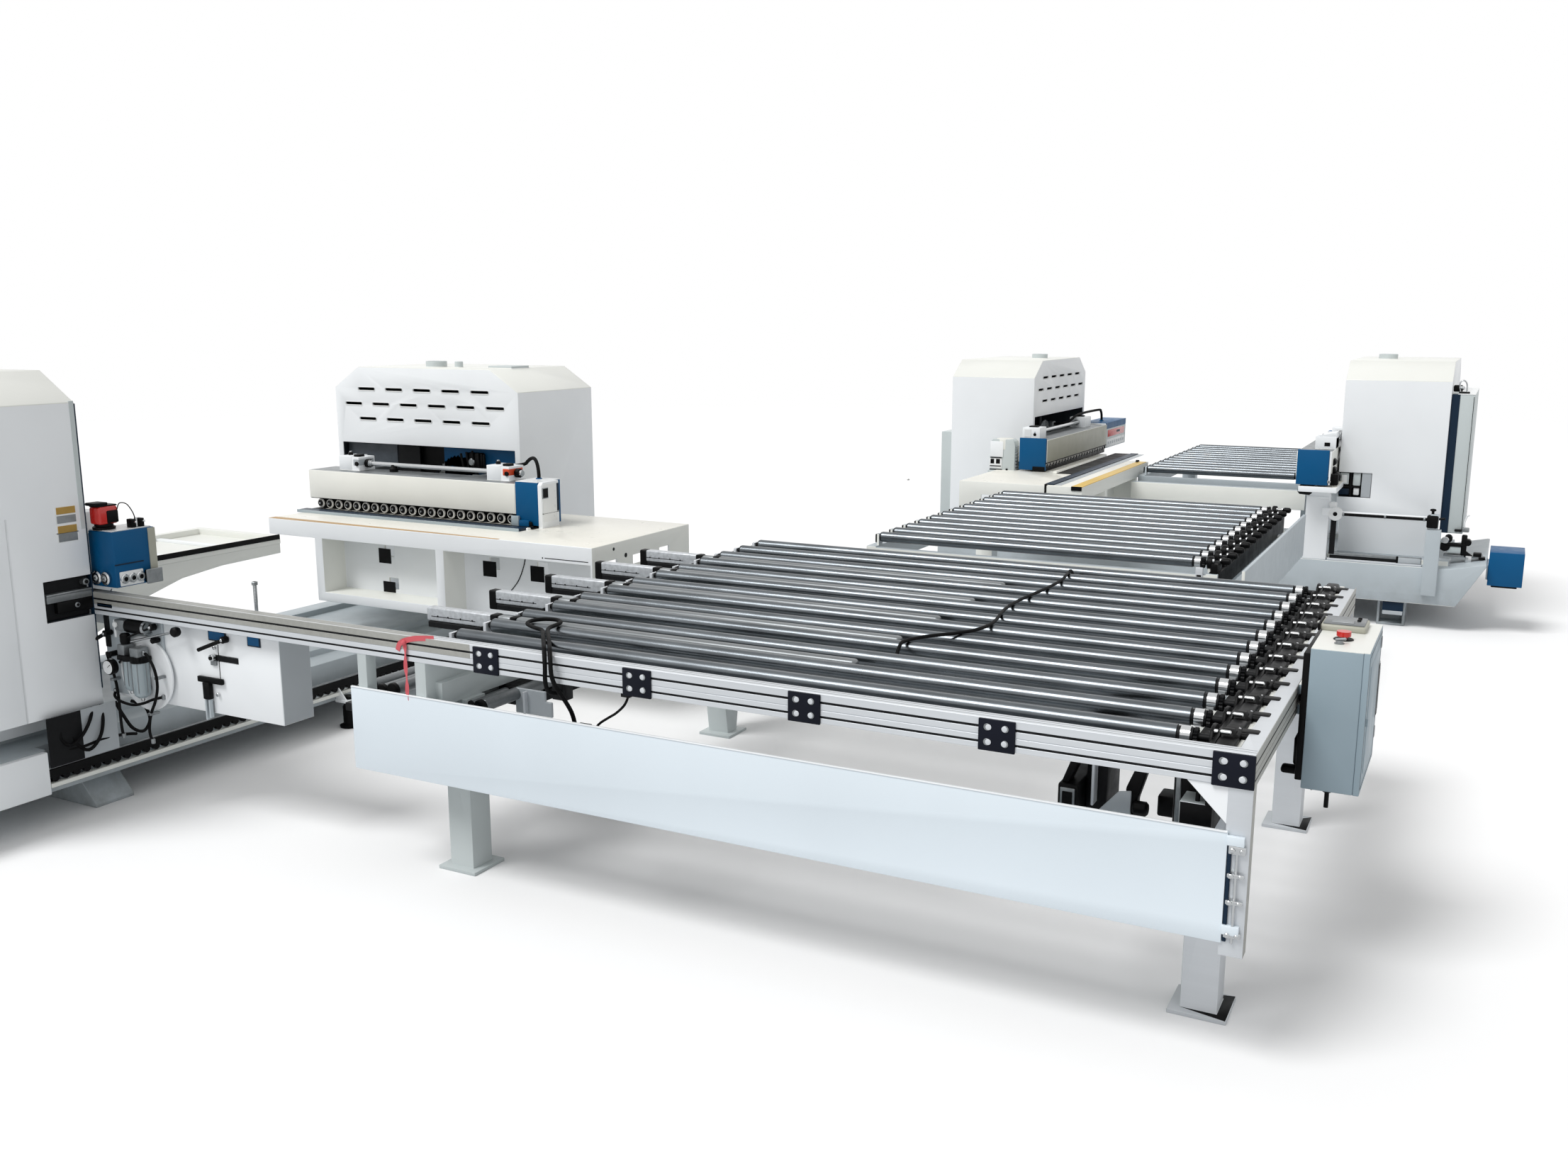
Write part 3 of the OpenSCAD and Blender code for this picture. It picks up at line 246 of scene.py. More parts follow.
def finish(name, colour, rough=0.4, metal=0.0, coat=0.0, patch=0.06, patch_scale=1.5, grain=0.0,
           grain_scale=60.0, stretch=None, bump=0.03, bump_scale=220.0, marks=0.0, mark_colour=(70, 70, 68),
           dirt=0.0, dirt_top=0.35, shine=0.5):
    """A worn workshop finish: patches of shade, fine grain, small marks, floor dirt, bump and uneven gloss."""
    made = bpy.data.materials.new(name)
    made.use_nodes = True
    add = Nodes(made.node_tree)
    spot = add("ShaderNodeTexCoord").outputs["Object"]
    base = linear(colour)
    shown = add.blend(add.spread(add.noise(spot, patch_scale, 3.0), 0.38, 0.72, 0.0, 1.0),
                      base, shade(base, 1 - 2.2 * patch))
    if grain:
        fine = add.noise(spot, grain_scale, 5.0, 0.6, stretch)
        shown = add.blend(add.spread(fine, 0.35, 0.75, 0.0, grain), shown, shade(base, 0.35))
    if marks:
        chips = add.noise(spot, 45.0, 6.0, 0.7)
        shown = add.blend(add.spread(chips, 0.70, 0.76, 0.0, marks), shown, linear(mark_colour))
    if dirt:
        low = add.spread(add("ShaderNodeSeparateXYZ", In0=spot).outputs["Z"], 0.0, dirt_top, dirt, 0.0)
        grime = add.spread(add.noise(spot, 9.0, 6.0, 0.65), 0.35, 0.7, 0.1, 1.0)
        shown = add.blend(add.maths("MULTIPLY", low, grime, use_clamp=True), shown, linear((92, 88, 80)))
    gloss = add.spread(add.noise(spot, 14.0, 4.0, 0.6, stretch), 0.3, 0.7, rough * 0.82, min(1.0, rough * 1.22))
    relief = {}
    if bump:
        skin = add.noise(spot, bump_scale, 3.0, 0.5, stretch)
        relief["Normal"] = add("ShaderNodeBump", Strength=min(1.0, bump * 8), Distance=0.0006, Height=skin)
    shader = add("ShaderNodeBsdfPrincipled", Metallic=metal, Coat_Weight=coat, Specular_IOR_Level=shine,
                 Base_Color=shown, Roughness=gloss, **relief)
    add("ShaderNodeOutputMaterial", Surface=shader)
    return made


FINISHES = """
hood Hood_paint tone rough=0.36 coat=0.15 patch=0.025 marks=0.1 bump=0.02
cream Cream_paint tone rough=0.38 coat=0.1 patch=0.03 marks=0.12 bump=0.02
base Base_paint tone rough=0.42 patch=0.05 marks=0.35 dirt=0.55
panel Panel_paint tone rough=0.34 coat=0.2 patch=0.03 patch_scale=0.9 marks=0.12 bump=0.02
beam Beam_paint tone rough=0.38 coat=0.1 patch=0.04 marks=0.15
drab Drab_paint 176:176:162 rough=0.45 marks=0.3
blue Blue_paint tone shine=0.2 patch=0.08 marks=0.2 mark_colour=150:160:168
shaded Grey_paint 178:184:188 patch=0.05 marks=0.2
navy Navy_paint 16:38:58 shine=0.2 patch=0.1 marks=0.2
box Box_paint 196:204:204 coat=0.1 patch=0.03 marks=0.15 bump=0.05 bump_scale=500
dark Dark_iron 22:23:25 rough=0.5 shine=0.15 patch=0.15 grain=0.3 marks=0.2 mark_colour=120:120:118
black Black_plastic 9:9:10 rough=0.45 shine=0.12 patch=0.12 marks=0.1 mark_colour=80:80:82
plate Anodised_plate 20:23:34 rough=0.42 shine=0.12 patch=0.1 marks=0.12 mark_colour=120:124:130
rubber Black_rubber 10:10:11 rough=0.62 shine=0.12 patch=0.15 grain=0.25 grain_scale=200 bump=0.06 bump_scale=700
wheel Wheel_rubber 246:244:238 rough=0.5 patch=0.08 grain=0.15 marks=0.3
steel Bright_steel 205:207:208 rough=0.18 metal=1 patch=0.05 grain=0.1 bump=0
screw Screw_steel 222:222:218 rough=0.22 metal=1 patch=0.05 bump=0
roller Roller_steel tone rough=0.26 metal=1 patch=0.12 patch_scale=5 grain=0.35 grain_scale=120 stretch=0.12:1:1
    marks=0.35 mark_colour=190:190:186 bump=0.02
blade Blade_steel 168:172:176 rough=0.25 metal=1 patch=0.08 grain=0.15
rail Rail_aluminium 214:221:230 rough=0.3 metal=0.55 patch=0.04 grain=0.12 grain_scale=90 stretch=0.05:1:1 marks=0.15
extrusion Bright_aluminium 214:218:222 rough=0.34 metal=0.2 patch=0.03 grain=0.05 grain_scale=70 stretch=0.02:1:1
    marks=0.08
tread Grey_tread 128:132:134 rough=0.35 metal=0.55 patch=0.12 grain=0.25 grain_scale=90 stretch=0.1:1:1 marks=0.3
    mark_colour=200:200:196
slate Slate_paint 150:168:178 coat=0.1 patch=0.05 marks=0.1
galvanised Galvanised_box 200:204:208 rough=0.38 metal=0.3 patch=0.12 patch_scale=60 marks=0.2
rail_side Rail_side 172:172:166 metal=0.2 patch=0.08 grain=0.2 stretch=1:0.03:1
dull Galvanised_steel 150:154:156 metal=0.8 patch=0.12 patch_scale=25 grain=0.2
red Red_plastic 206:34:26 rough=0.28 coat=0.4 patch=0.08
orange Orange_paint 216:74:34 patch=0.1 marks=0.2
yellow Yellow_strip 222:186:96 rough=0.45 patch=0.1 grain=0.2 grain_scale=30 stretch=1:0.1:1
wood Waxed_wood 206:168:116 rough=0.5 patch=0.15 grain=0.35 grain_scale=40 stretch=0.08:1:1
table Table_laminate 240:238:228 rough=0.32 coat=0.1 patch=0.05 grain=0.08 marks=0.2
inside Dark_inside 58:66:74 rough=0.55 patch=0.2 grain=0.3
lamp Clear_bowl 170:184:190 rough=0.12 coat=0.6 patch=0.15
ribbon Red_ribbon 214:96:104 rough=0.75 patch=0.1 grain=0.2 grain_scale=400 bump=0.08 bump_scale=900
brass Brass 196:160:92 rough=0.3 metal=1 patch=0.1 grain=0.1
label Blank_label 236:238:238 rough=0.3 patch=0.02
"""


def paint_materials(tones):
    """Every finish of the line, by name."""
    made = {}
    for row in FINISHES.replace("\n    ", " ").strip().split("\n"):
        name, label, colour, *settings = row.split()
        colour = getattr(tones, name) if colour == "tone" else values(colour)[0]
        made[name] = finish(label, colour, **{key: values(value)[0] for key, value in (
            setting.split("=") for setting in settings)})
    return made


# ---------------------------------------------------------------- making meshes
def mirrored(place):
    """Whether a place turns left and right round."""
    origin = place(0, 0, 0)
    axes = [place(*step) - origin for step in ((1, 0, 0), (0, 1, 0), (0, 0, 1))]
    return Matrix(axes).determinant() < 0


AXES = {"x": (1, 0, 0), "y": (0, 1, 0), "z": (0, 0, 1)}


def around(part, centre, side, other, radius, sides):
    """Points round a centre, or the centre alone where the radius is nothing."""
    if radius <= 0:
        return [part.verts.new(centre)]
    return [part.verts.new(centre + radius * (math.cos(angle) * side + math.sin(angle) * other))
            for angle in (2 * math.pi * k / sides for k in range(sides))]


def skin(part, rings):
    """Faces from ring to ring and over both ends; a ring of one point is a tip."""
    for low, high in zip(rings, rings[1:]):
        sides = max(len(low), len(high))
        for k in range(sides):
            n = (k + 1) % sides
            corners = low[k % len(low)], low[n % len(low)], high[n % len(high)], high[k % len(high)]
            if len(set(corners)) > 2:
                part.faces.new(tuple(dict.fromkeys(corners)))
    for ring in (rings[0][::-1], rings[-1]):
        if len(ring) > 1:
            part.faces.new(ring)
    bmesh.ops.recalc_face_normals(part, faces=part.faces[:])


def along_route(route):
    """Each point of a route with the route's direction there."""
    points = [Vector(p) for p in route]
    for i, point in enumerate(points):
        yield point, (points[min(i + 1, len(points) - 1)] - points[max(i - 1, 0)]).normalized()


def values(text):
    """The numbers in a text, those joined by colons as one tuple."""
    return [tuple(map(float, word.split(":"))) if ":" in word else float(word) for word in text.split()]


class Shape:
    """Closed solids with their finishes, gathered into one piece; lengths in millimetres of a place."""

    def __init__(self, place=place_line):
        self.place = place
        self.flip = mirrored(place)
        self.points = []
        self.faces = []
        self.tags = []
        self.finishes = []

    def take(self, part, finish_name, bevel=0, segments=1, clamp=False):
        """Adds a part's mesh with its edges bevelled, moved to its place, and frees it."""
        if bevel:
            bmesh.ops.bevel(part, geom=part.edges[:], offset=bevel, segments=int(segments), profile=0.5,
                            affect="EDGES", clamp_overlap=clamp)
        if finish_name not in self.finishes:
            self.finishes.append(finish_name)
        tag = self.finishes.index(finish_name)
        start = len(self.points)
        part.verts.index_update()
        self.points.extend(self.place(*v.co) for v in part.verts)
        for face in part.faces:
            loop = [start + v.index for v in face.verts]
            self.faces.append(loop[::-1] if self.flip else loop)
            self.tags.append(tag)
        part.free()

    def add(self, text, at=(0, 0, 0)):
        """Solids from rows parted by semicolons, moved by at; a pair such as 3:8 gives both ends.

        Rows: FINISH x y z bevel segments | rod FINISH x y z diameter bevel sides |
        turned FINISH x y z axis sides along:radius... | prism FINISH axis ends bevel segments point... |
        pipe FINISH steps diameter sides point...
        """
        for row in text.split(";"):
            kind, *words = row.split()
            if kind in ("turned", "prism"):
                axis = next(word for word in words if word in AXES)
                words.remove(axis)
            if kind not in ("rod", "turned", "prism", "pipe"):
                kind, words = "block", [kind] + words
            finish_name, found = words[0], values(" ".join(words[1:]))
            if kind == "prism":
                self.prism(finish_name, found[3:], axis, *found[:3])
            elif kind == "pipe":
                self.sweep(finish_name, curve_points(found[3:], int(found[0])), *found[1:3])
            elif kind == "turned":
                self.turned(finish_name, found[:3], AXES[axis], found[4:], found[3])
            else:
                pairs = [v if isinstance(v, tuple) else (v, v) for v in found[:3]]
                spans = [tuple(step + end for end in pair) for step, pair in zip(at, pairs)]
                getattr(self, kind)(finish_name, *(spans if kind == "block" else zip(*spans)), *found[3:])

    def block(self, finish_name, x, y, z, bevel=1.5, segments=1):
        part = bmesh.new()
        bmesh.ops.create_cube(part, size=1.0)
        for v in part.verts:
            v.co = Vector([(s[0] + s[1]) / 2 + c * (s[1] - s[0]) for s, c in zip((x, y, z), v.co)])
        room = min(abs(s[1] - s[0]) for s in (x, y, z)) * 0.45
        self.take(part, finish_name, min(bevel, room), segments)

    def prism(self, finish_name, outline, axis, span, bevel=1.5, segments=1):
        """An outline in the two other axes, drawn along an axis."""
        order = {"x": (1, 2, 0), "y": (0, 2, 1), "z": (0, 1, 2)}[axis]
        part = bmesh.new()
        rings = []
        for level in span:
            spots = [(point[0], point[1], level) for point in outline]
            rings.append([part.verts.new([spot[order.index(i)] for i in range(3)]) for spot in spots])
        part.faces.new(rings[0])
        part.faces.new(rings[1][::-1])
        for i in range(len(outline)):
            j = (i + 1) % len(outline)
            part.faces.new((rings[0][i], rings[1][i], rings[1][j], rings[0][j]))
        bmesh.ops.recalc_face_normals(part, faces=part.faces[:])
        self.take(part, finish_name, bevel, segments, True)

    def turned(self, finish_name, start, axis, profile, sides=24):
        """A solid of revolution; the profile holds pairs of distance along the axis and radius."""
        axis = Vector(axis).normalized()
        side = axis.orthogonal().normalized()
        part = bmesh.new()
        skin(part, [around(part, Vector(start) + axis * along, side, axis.cross(side), radius, int(sides))
                    for along, radius in profile])
        self.take(part, finish_name)

    def rod(self, finish_name, start, end, d, bevel=1.0, sides=24):
        start, end = Vector(start), Vector(end)
        length = (end - start).length
        edge = min(bevel, length * 0.4, d * 0.3)
        profile = [(0, d / 2 - edge), (edge, d / 2), (length - edge, d / 2), (length, d / 2 - edge)]
        self.turned(finish_name, start, end - start, profile if edge else [(0, d / 2), (length, d / 2)], sides)

    def sweep(self, finish_name, route, d, sides=12):
        """A round tube along a route of points."""
        part = bmesh.new()
        rings = []
        side = None
        for point, along in along_route(route):
            side = side or along.orthogonal().normalized()
            side = (side - along * side.dot(along)).normalized()
            rings.append(around(part, point, side, along.cross(side), d / 2, int(sides)))
        skin(part, rings)
        self.take(part, finish_name)

    def band(self, finish_name, route, width, thick, twist=0.0):
        """A flat ribbon along a route, turned a little more with each point."""
        part = bmesh.new()
        rings = []
        for i, (point, along) in enumerate(along_route(route)):
            side = along.cross(Vector((0, -1, 0))).normalized()
            out = side.cross(along).normalized()
            angle = twist * math.sin(i * 0.55)
            across = side * math.cos(angle) + out * math.sin(angle)
            up = along.cross(across).normalized()
            rings.append([part.verts.new(point + a * across * width / 2 + b * up * thick / 2)
                          for a, b in ((-1, -1), (1, -1), (1, 1), (-1, 1))])
        skin(part, rings)
        self.take(part, finish_name)

    def done(self, name, body, slot, *replaced):
        """Makes the object, gives it its body, and hides the nodes it stands for."""
        mesh = bpy.data.meshes.new(name)
        mesh.from_pydata(self.points, [], self.faces)
        dressed(mesh, self.finishes, self.tags)
        return settle(linked(name, mesh), body, slot, *replaced)


def dressed(mesh, finishes, tags, sharp=32):
    """Gives a mesh its finishes and smooth faces with sharp edges."""
    for finish_name in finishes:
        mesh.materials.append(MATERIALS[finish_name])
    mesh.polygons.foreach_set("material_index", tags)
    rounded(mesh, sharp)


def rounded(mesh, sharp=32):
    """Smooth faces with edges kept sharp above an angle in degrees."""
    mesh.polygons.foreach_set("use_smooth", [True] * len(mesh.polygons))
    mesh.update()
    mesh.set_sharp_from_angle(angle=math.radians(sharp))


def settle(made, body, slot, *replaced):
    """Gives an object its body, and hides the nodes it stands for; the slot is not used."""
    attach(made, body)
    if replaced:
        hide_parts(*replaced)
    return made


def curve_points(route, steps):
    """A smooth line through the route's points."""
    points = [Vector(p) for p in route]
    found = []
    for i in range(len(points) - 1):
        a, b = points[max(i - 1, 0)], points[i]
        c, d = points[i + 1], points[min(i + 2, len(points) - 1)]
        for k in range(steps):
            t = k / steps
            found.append(0.5 * ((2 * b) + (c - a) * t + (2 * a - 5 * b + 4 * c - d) * t * t
                                + (3 * b - a - 3 * c + d) * t ** 3))
    return found + [points[-1]]


# ---------------------------------------------------------------- settings a user would change
def colour_setting(name, text, value):
    return bpy.props.FloatVectorProperty(name=name, description=text, default=value, size=3, min=0, max=255)


class SawTones(bpy.types.PropertyGroup):
    """Colours of the painted and metal surfaces, as sRGB in 0 to 255."""

    hood: colour_setting("Hood", "Paint of the four hoods", (244, 247, 249))
    cream: colour_setting("Cream", "Paint of the work tables' frames", (236, 237, 231))
    base: colour_setting("Base", "Paint of the bases and legs", (182, 191, 196))
    panel: colour_setting("Panel", "Paint of the front panel", (226, 236, 243))
    beam: colour_setting("Beam", "Paint of the pressure beams", (240, 240, 233))
    blue: colour_setting("Blue", "Paint of the end blocks", (4, 84, 132))
    roller: colour_setting("Roller", "Steel of the rollers", (112, 117, 121))


class SawSizes(bpy.types.PropertyGroup):
    """Sizes of the pieces that repeat."""

    roller: bpy.props.FloatProperty(name="Roller diameter", description="Diameter of a roller", default=0.05,
                                    min=0.03, max=0.09, unit="LENGTH")
    sides: bpy.props.IntProperty(name="Roller sides", description="Sides of a roller's barrel", default=40, min=16,
                                 max=64)
    edge: bpy.props.FloatProperty(name="Edge rounding", description="Rounding of the folded sheet metal's edges",
                                  default=0.003, min=0.001, max=0.008, unit="LENGTH")
    screw: bpy.props.FloatProperty(name="Screw head", description="Diameter of a plate's screw head", default=0.018,
                                   min=0.008, max=0.03, unit="LENGTH")


# ---------------------------------------------------------------- cords
# Routes in millimetres, z from the work level: along the front rail, or in the axes of heads B and C
RAIL_CABLE = values("""
    402:62:-276 402:62:-240 400:48:-196 396:16:-146 390:-12:-104 385:-25:-70 382:-26:-44 377:-20:-16 364:-4:4.5
    347:18:12 249:141:8 182:224:8 161:268:8 156:311:8 143:347:8 106:368:8 64:356:8 44:318:8 56:277:8 89:252:8
    130:232:8 169:213:8 227:141:8 325:18:12 342:-4:4.5 355:-20:-16 360:-26:-44 359:-26:-80 358:-18:-108 357:2:-128
    356:30:-136 356:66:-136""")
DECK_CABLE = values("""
    1285:579:-164 1285:579:-44 1285:586:-19 1285:604:-1 1285:629:6 1296:680:6 1330:745:6 1385:815:6 1430:890:6
    1448:990:6 1440:1090:6 1412:1260:6 1408:1440:6 1428:1680:6 1433:1880:6 1414:2030:6 1405:2103:6 1405:2128:-1
    1405:2146:-19 1405:2153:-44 1405:2153:-164""")
PLATE_CABLE = values("""
    634:22:-100 634:22:-114 620:22:-140 590:22:-168 556:23:-190 524:26:-212 500:30:-240 500:30:-268""")
HOSE_B = values("""
    1212:95:238 1212:62:238 1212:20:240 1222:-20:246 1252:-60:254 1292:-92:264 1400:-108:284 1440:-128:303
    1472:-146:318 1508:-166:325 1539:-187:315 1561:-202:287 1570:-208:250 1570:-208:229""")
HOSE_C = values("""
    532:95:238 532:62:238 532:20:243 522:-17:252 494:-45:272 457:-58:292 400:-66:303 300:-78:310 150:-100:316
    -28:-115:316 -64:-115:306 -90:-115:280 -100:-115:244 -100:-115:229""")
CORDS = [
    ("rail_cable", RAIL_CABLE, 14, "line", place_rail),
    ("deck_cable", DECK_CABLE, 12, "line", place_rail),
    ("plate_cable", PLATE_CABLE, 8, "line", place_rail),
    ("beam_hose_b", HOSE_B, 18, "beam_b", lambda x, y, z: place_b(x, y, LEVEL + z)),
    ("beam_hose_c", HOSE_C, 18, "beam_c", lambda x, y, z: place_c(x, y, LEVEL + z)),
]


def path_length(points):
    """Length of a line through points."""
    return sum((b - a).length for a, b in zip(points, points[1:]))


class SAWLINE_OT_cords(bpy.types.Operator):
    """Cables and hoses, each along the route of its CAD solid"""

    bl_idname = "sawline.cords"
    bl_label = "Cables and hoses"

    def execute(self, context):
        for name, route, d, body, place in CORDS:
            line = curve_points(route, 4)
            shape = Shape(place)
            shape.sweep("rubber", line, d, 14)
            made = shape.done(name + "_jacket", body, "black_rubber", name)
            world = [place(*p) for p in line]
            tuple(world[0])
            path_length(world)
            [tuple(p) for p in world]
        return {"FINISHED"}


# ---------------------------------------------------------------- camera, floor and lights
# The photo's camera: place in metres, tilt down and turn in degrees, lens and sensor in millimetres
EYE = (2.933, -7.075, 1.900)
EYE_TILT = 11.24
EYE_TURN = 27.73
LENS = 31.40
SENSOR = 36.0
WHITE = (1.0, 1.0, 1.0, 1.0)
FLOOR_HALF = 60.0
SUN_AIM = (0.30, 0.52, -0.85)


class SAWLINE_OT_stage(bpy.types.Operator):
    """Camera, pale floor, soft light and white surroundings"""

    bl_idname = "sawline.stage"
    bl_label = "Stage"

    def execute(self, context):
        scene = context.scene
        lens = bpy.data.cameras.new("Camera")
        lens.lens = LENS
        lens.sensor_width = SENSOR
        lens.clip_end = 200.0
        scene.camera = linked("Camera", lens)
        scene.camera.location = EYE
        scene.camera.rotation_euler = (math.radians(90 - EYE_TILT), 0.0, math.radians(EYE_TURN))
        self.floor()
        self.lights(scene)
        scene.view_settings.view_transform = "Standard"
        return {"FINISHED"}

    def floor(self):
        """A pale floor that fades into the white surroundings."""
        half = FLOOR_HALF
        mesh = bpy.data.meshes.new("Floor")
        mesh.from_pydata([(-half, -half, 0), (half, -half, 0), (half, half, 0), (-half, half, 0)], [], [(0, 1, 2, 3)])
        ground = linked("Floor", mesh)
        paint = bpy.data.materials.new("Floor_paint")
        paint.use_nodes = True
        add = Nodes(paint.node_tree)
        seen = add("ShaderNodeLightPath").outputs["Is Camera Ray"]
        matt = add("ShaderNodeBsdfDiffuse",
                   Color=add.blend(seen, (0.70, 0.71, 0.72, 1.0), (0.985, 0.985, 0.985, 1.0)))
        white = add("ShaderNodeEmission", Color=WHITE, Strength=1.0)
        spot = add("ShaderNodeTexCoord").outputs["Object"]
        away = add("ShaderNodeVectorMath", operation="LENGTH", In0=spot).outputs["Value"]
        fade = add.maths("MULTIPLY", add.spread(away, 9.0, 22.0, 0.0, 1.0), seen)
        add("ShaderNodeOutputMaterial", Surface=add("ShaderNodeMixShader", In0=fade, In1=matt, In2=white))
        mesh.materials.append(paint)
        ground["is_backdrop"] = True

    def lights(self, scene):
        """An even sky with white shown to the camera, and one wide soft lamp from above and behind."""
        scene.world = bpy.data.worlds.new("Surroundings")
        scene.world.use_nodes = True
        add = Nodes(scene.world.node_tree)
        path = add("ShaderNodeLightPath").outputs
        seen = add.maths("MAXIMUM", add.maths("MAXIMUM", path["Is Camera Ray"], path["Is Glossy Ray"]),
                         path["Is Transmission Ray"])
        add("ShaderNodeOutputWorld", Surface=add("ShaderNodeBackground", Color=WHITE,
                                                 Strength=add.spread(seen, 0.0, 1.0, 0.59, 1.0)))
        lamp = bpy.data.lights.new("Soft_lamp", "SUN")
        lamp.energy = 1.9
        lamp.angle = math.radians(24)
        linked("Soft_lamp", lamp).rotation_euler = Vector(SUN_AIM).to_track_quat("-Z", "Y").to_euler()


# ---------------------------------------------------------------- paint on the CAD nodes
NODE_FINISH = {
    "base_beam_1": "base", "base_beam_2": "base", "infeed_frame": "cream", "service_unit_a": "base",
    "table_frame_1": "rail", "front_panel": "panel", "belt_lift": "rail", "table_frame_2": "base",
    "table_frame_3": "base", "control_box": "box", "control_door": "box", "stop_button": "red",
    "rollers_2": "roller", "rollers_3": "roller",
}
for key in "abcd":
    NODE_FINISH.update({
        "cabinet_" + key: "hood", "work_table_" + key: "cream" if key in "bc" else "hood",
        "pressure_beam_" + key: "beam", "press_wheels_" + key: "wheel", "lift_shaft_" + key: "steel",
        "saw_motor_" + key: "blue", "saw_blade_" + key: "blade",
    })
for count in range(1, 14):
    NODE_FINISH[f"roller_{count}"] = "roller"


class SAWLINE_OT_paint(bpy.types.Operator):
    """Finishes on the solids that stay as they are"""

    bl_idname = "sawline.paint"
    bl_label = "Paint"

    def execute(self, context):
        for name, finish_name in NODE_FINISH.items():
            for holder in NODES[name].material_slots:
                holder.material = MATERIALS[finish_name]
        return {"FINISHED"}


# ---------------------------------------------------------------- rollers
def roller_tree():
    """One roller, repeated along Y: barrel, groove, collar, end disc, shaft and toothed wheel."""
    add = Tree("Roller_row", Barrel_length=2.36, Diameter=0.05, Shaft_diameter=0.02, Left_end=0.034, Right_end=0.06,
               Collar_length=0.06, Sides=40, Count=1, Pitch=0.175, Barrel_finish="Material",
               Collar_finish="Material", Shaft_finish="Material", Wheel_finish="Material")
    turn = (0, math.pi / 2, 0)
    maths = add.maths

    def bar(start, length, radius, finish_name):
        """A cylinder along X from start."""
        body = add("GeometryNodeMeshCylinder", fill_type="NGON", Vertices=add["Sides"], Radius=radius, Depth=length)
        middle = add("ShaderNodeCombineXYZ", X=maths("ADD", start, maths("MULTIPLY", length, 0.5)))
        return add.shown(add.moved(body, Rotation=turn, Translation=middle), finish_name)

    length, radius = add["Barrel length"], maths("MULTIPLY", add["Diameter"], 0.5)
    small = maths("MULTIPLY", radius, 0.9)
    collar_start = maths("ADD", length, 0.010)
    collar_end = maths("ADD", collar_start, add["Collar length"])
    shaft_length = maths("ADD", maths("ADD", add["Left end"], collar_end), add["Right end"])
    shaft_radius = maths("MULTIPLY", add["Shaft diameter"], 0.5)
    parts = [
        bar(0.0, length, radius, "Barrel finish"),
        bar(length, 0.010, small, "Wheel finish"),
        bar(collar_start, add["Collar length"], maths("MULTIPLY", radius, 0.98), "Collar finish"),
        bar(collar_end, 0.006, small, "Wheel finish"),
        bar(-0.006, 0.006, small, "Wheel finish"),
        bar(maths("MULTIPLY", add["Left end"], -1.0), shaft_length, shaft_radius, "Shaft finish"),
    ]
    star = add("GeometryNodeCurveStar", Points=15, Outer_Radius=maths("MULTIPLY", radius, 0.97),
               Inner_Radius=maths("MULTIPLY", radius, 0.78))
    fill = add("GeometryNodeFillCurve", Curve=star)
    disc = add("GeometryNodeMergeByDistance", Distance=0.00005, Geometry=add.joined(
        add("GeometryNodeExtrudeMesh", Mesh=fill, Offset_Scale=0.010, Individual=False),
        add("GeometryNodeFlipFaces", Mesh=fill)))
    place = add("ShaderNodeCombineXYZ", X=maths("ADD", collar_end, 0.008))
    wheel = add.shown(add.moved(disc, Rotation=turn, Translation=place), "Wheel finish")
    return add.finished(add.row("Y"), add.joined(wheel, *reversed(parts)), "Barrel finish", True)


def place_mesh(made, offset):
    """Moves a mesh made by a tree to its place."""
    made.data.transform(Matrix.Translation(offset))
    rounded(made.data)


# Middles of the driven rollers from the front rail, and left ends, first rollers and lengths of the rear ones
ROLLER_Z = LEVEL - 25
ROLLERS_Y = [141 + i * 175 for i in range(13)]
REAR_ROLLERS = {"rollers_2": (292, -1015, 1467), "rollers_3": (733, 2635, 960)}
REAR_COUNT = 12
REAR_PITCH = 165


class SAWLINE_OT_rollers(bpy.types.Operator):
    """Rollers of the three tables, each with its collar, shaft and toothed wheel"""

    bl_idname = "sawline.rollers"
    bl_label = "Rollers"

    def execute(self, context):
        sizes = context.scene.saw_sizes
        tree = roller_tree()
        finishes = {"Barrel_finish": MATERIALS["roller"], "Collar_finish": MATERIALS["steel"],
                    "Shaft_finish": MATERIALS["dark"], "Wheel_finish": MATERIALS["dark"],
                    "Diameter": sizes.roller, "Sides": sizes.sides, "Collar_length": 0.025}
        for i, y in enumerate(ROLLERS_Y, 1):
            made = baked(f"roller_{i}_tube", tree, offset=place_line(-117, FRONT + y, ROLLER_Z), Barrel_length=2.373,
                         Left_end=0.039, Right_end=0.087, Count=1, **finishes)
            settle(made, f"roll_{i}", "roller_steel", f"roller_{i}")
        for name, (x, y, length) in REAR_ROLLERS.items():
            made = baked(name + "_tubes", tree, offset=place_line(x, y, ROLLER_Z), Barrel_length=(length + 14) * MM,
                         Left_end=0.026, Right_end=0.080, Count=REAR_COUNT, Pitch=REAR_PITCH * MM, **finishes)
            settle(made, "line", "roller_steel", name)
        return {"FINISHED"}


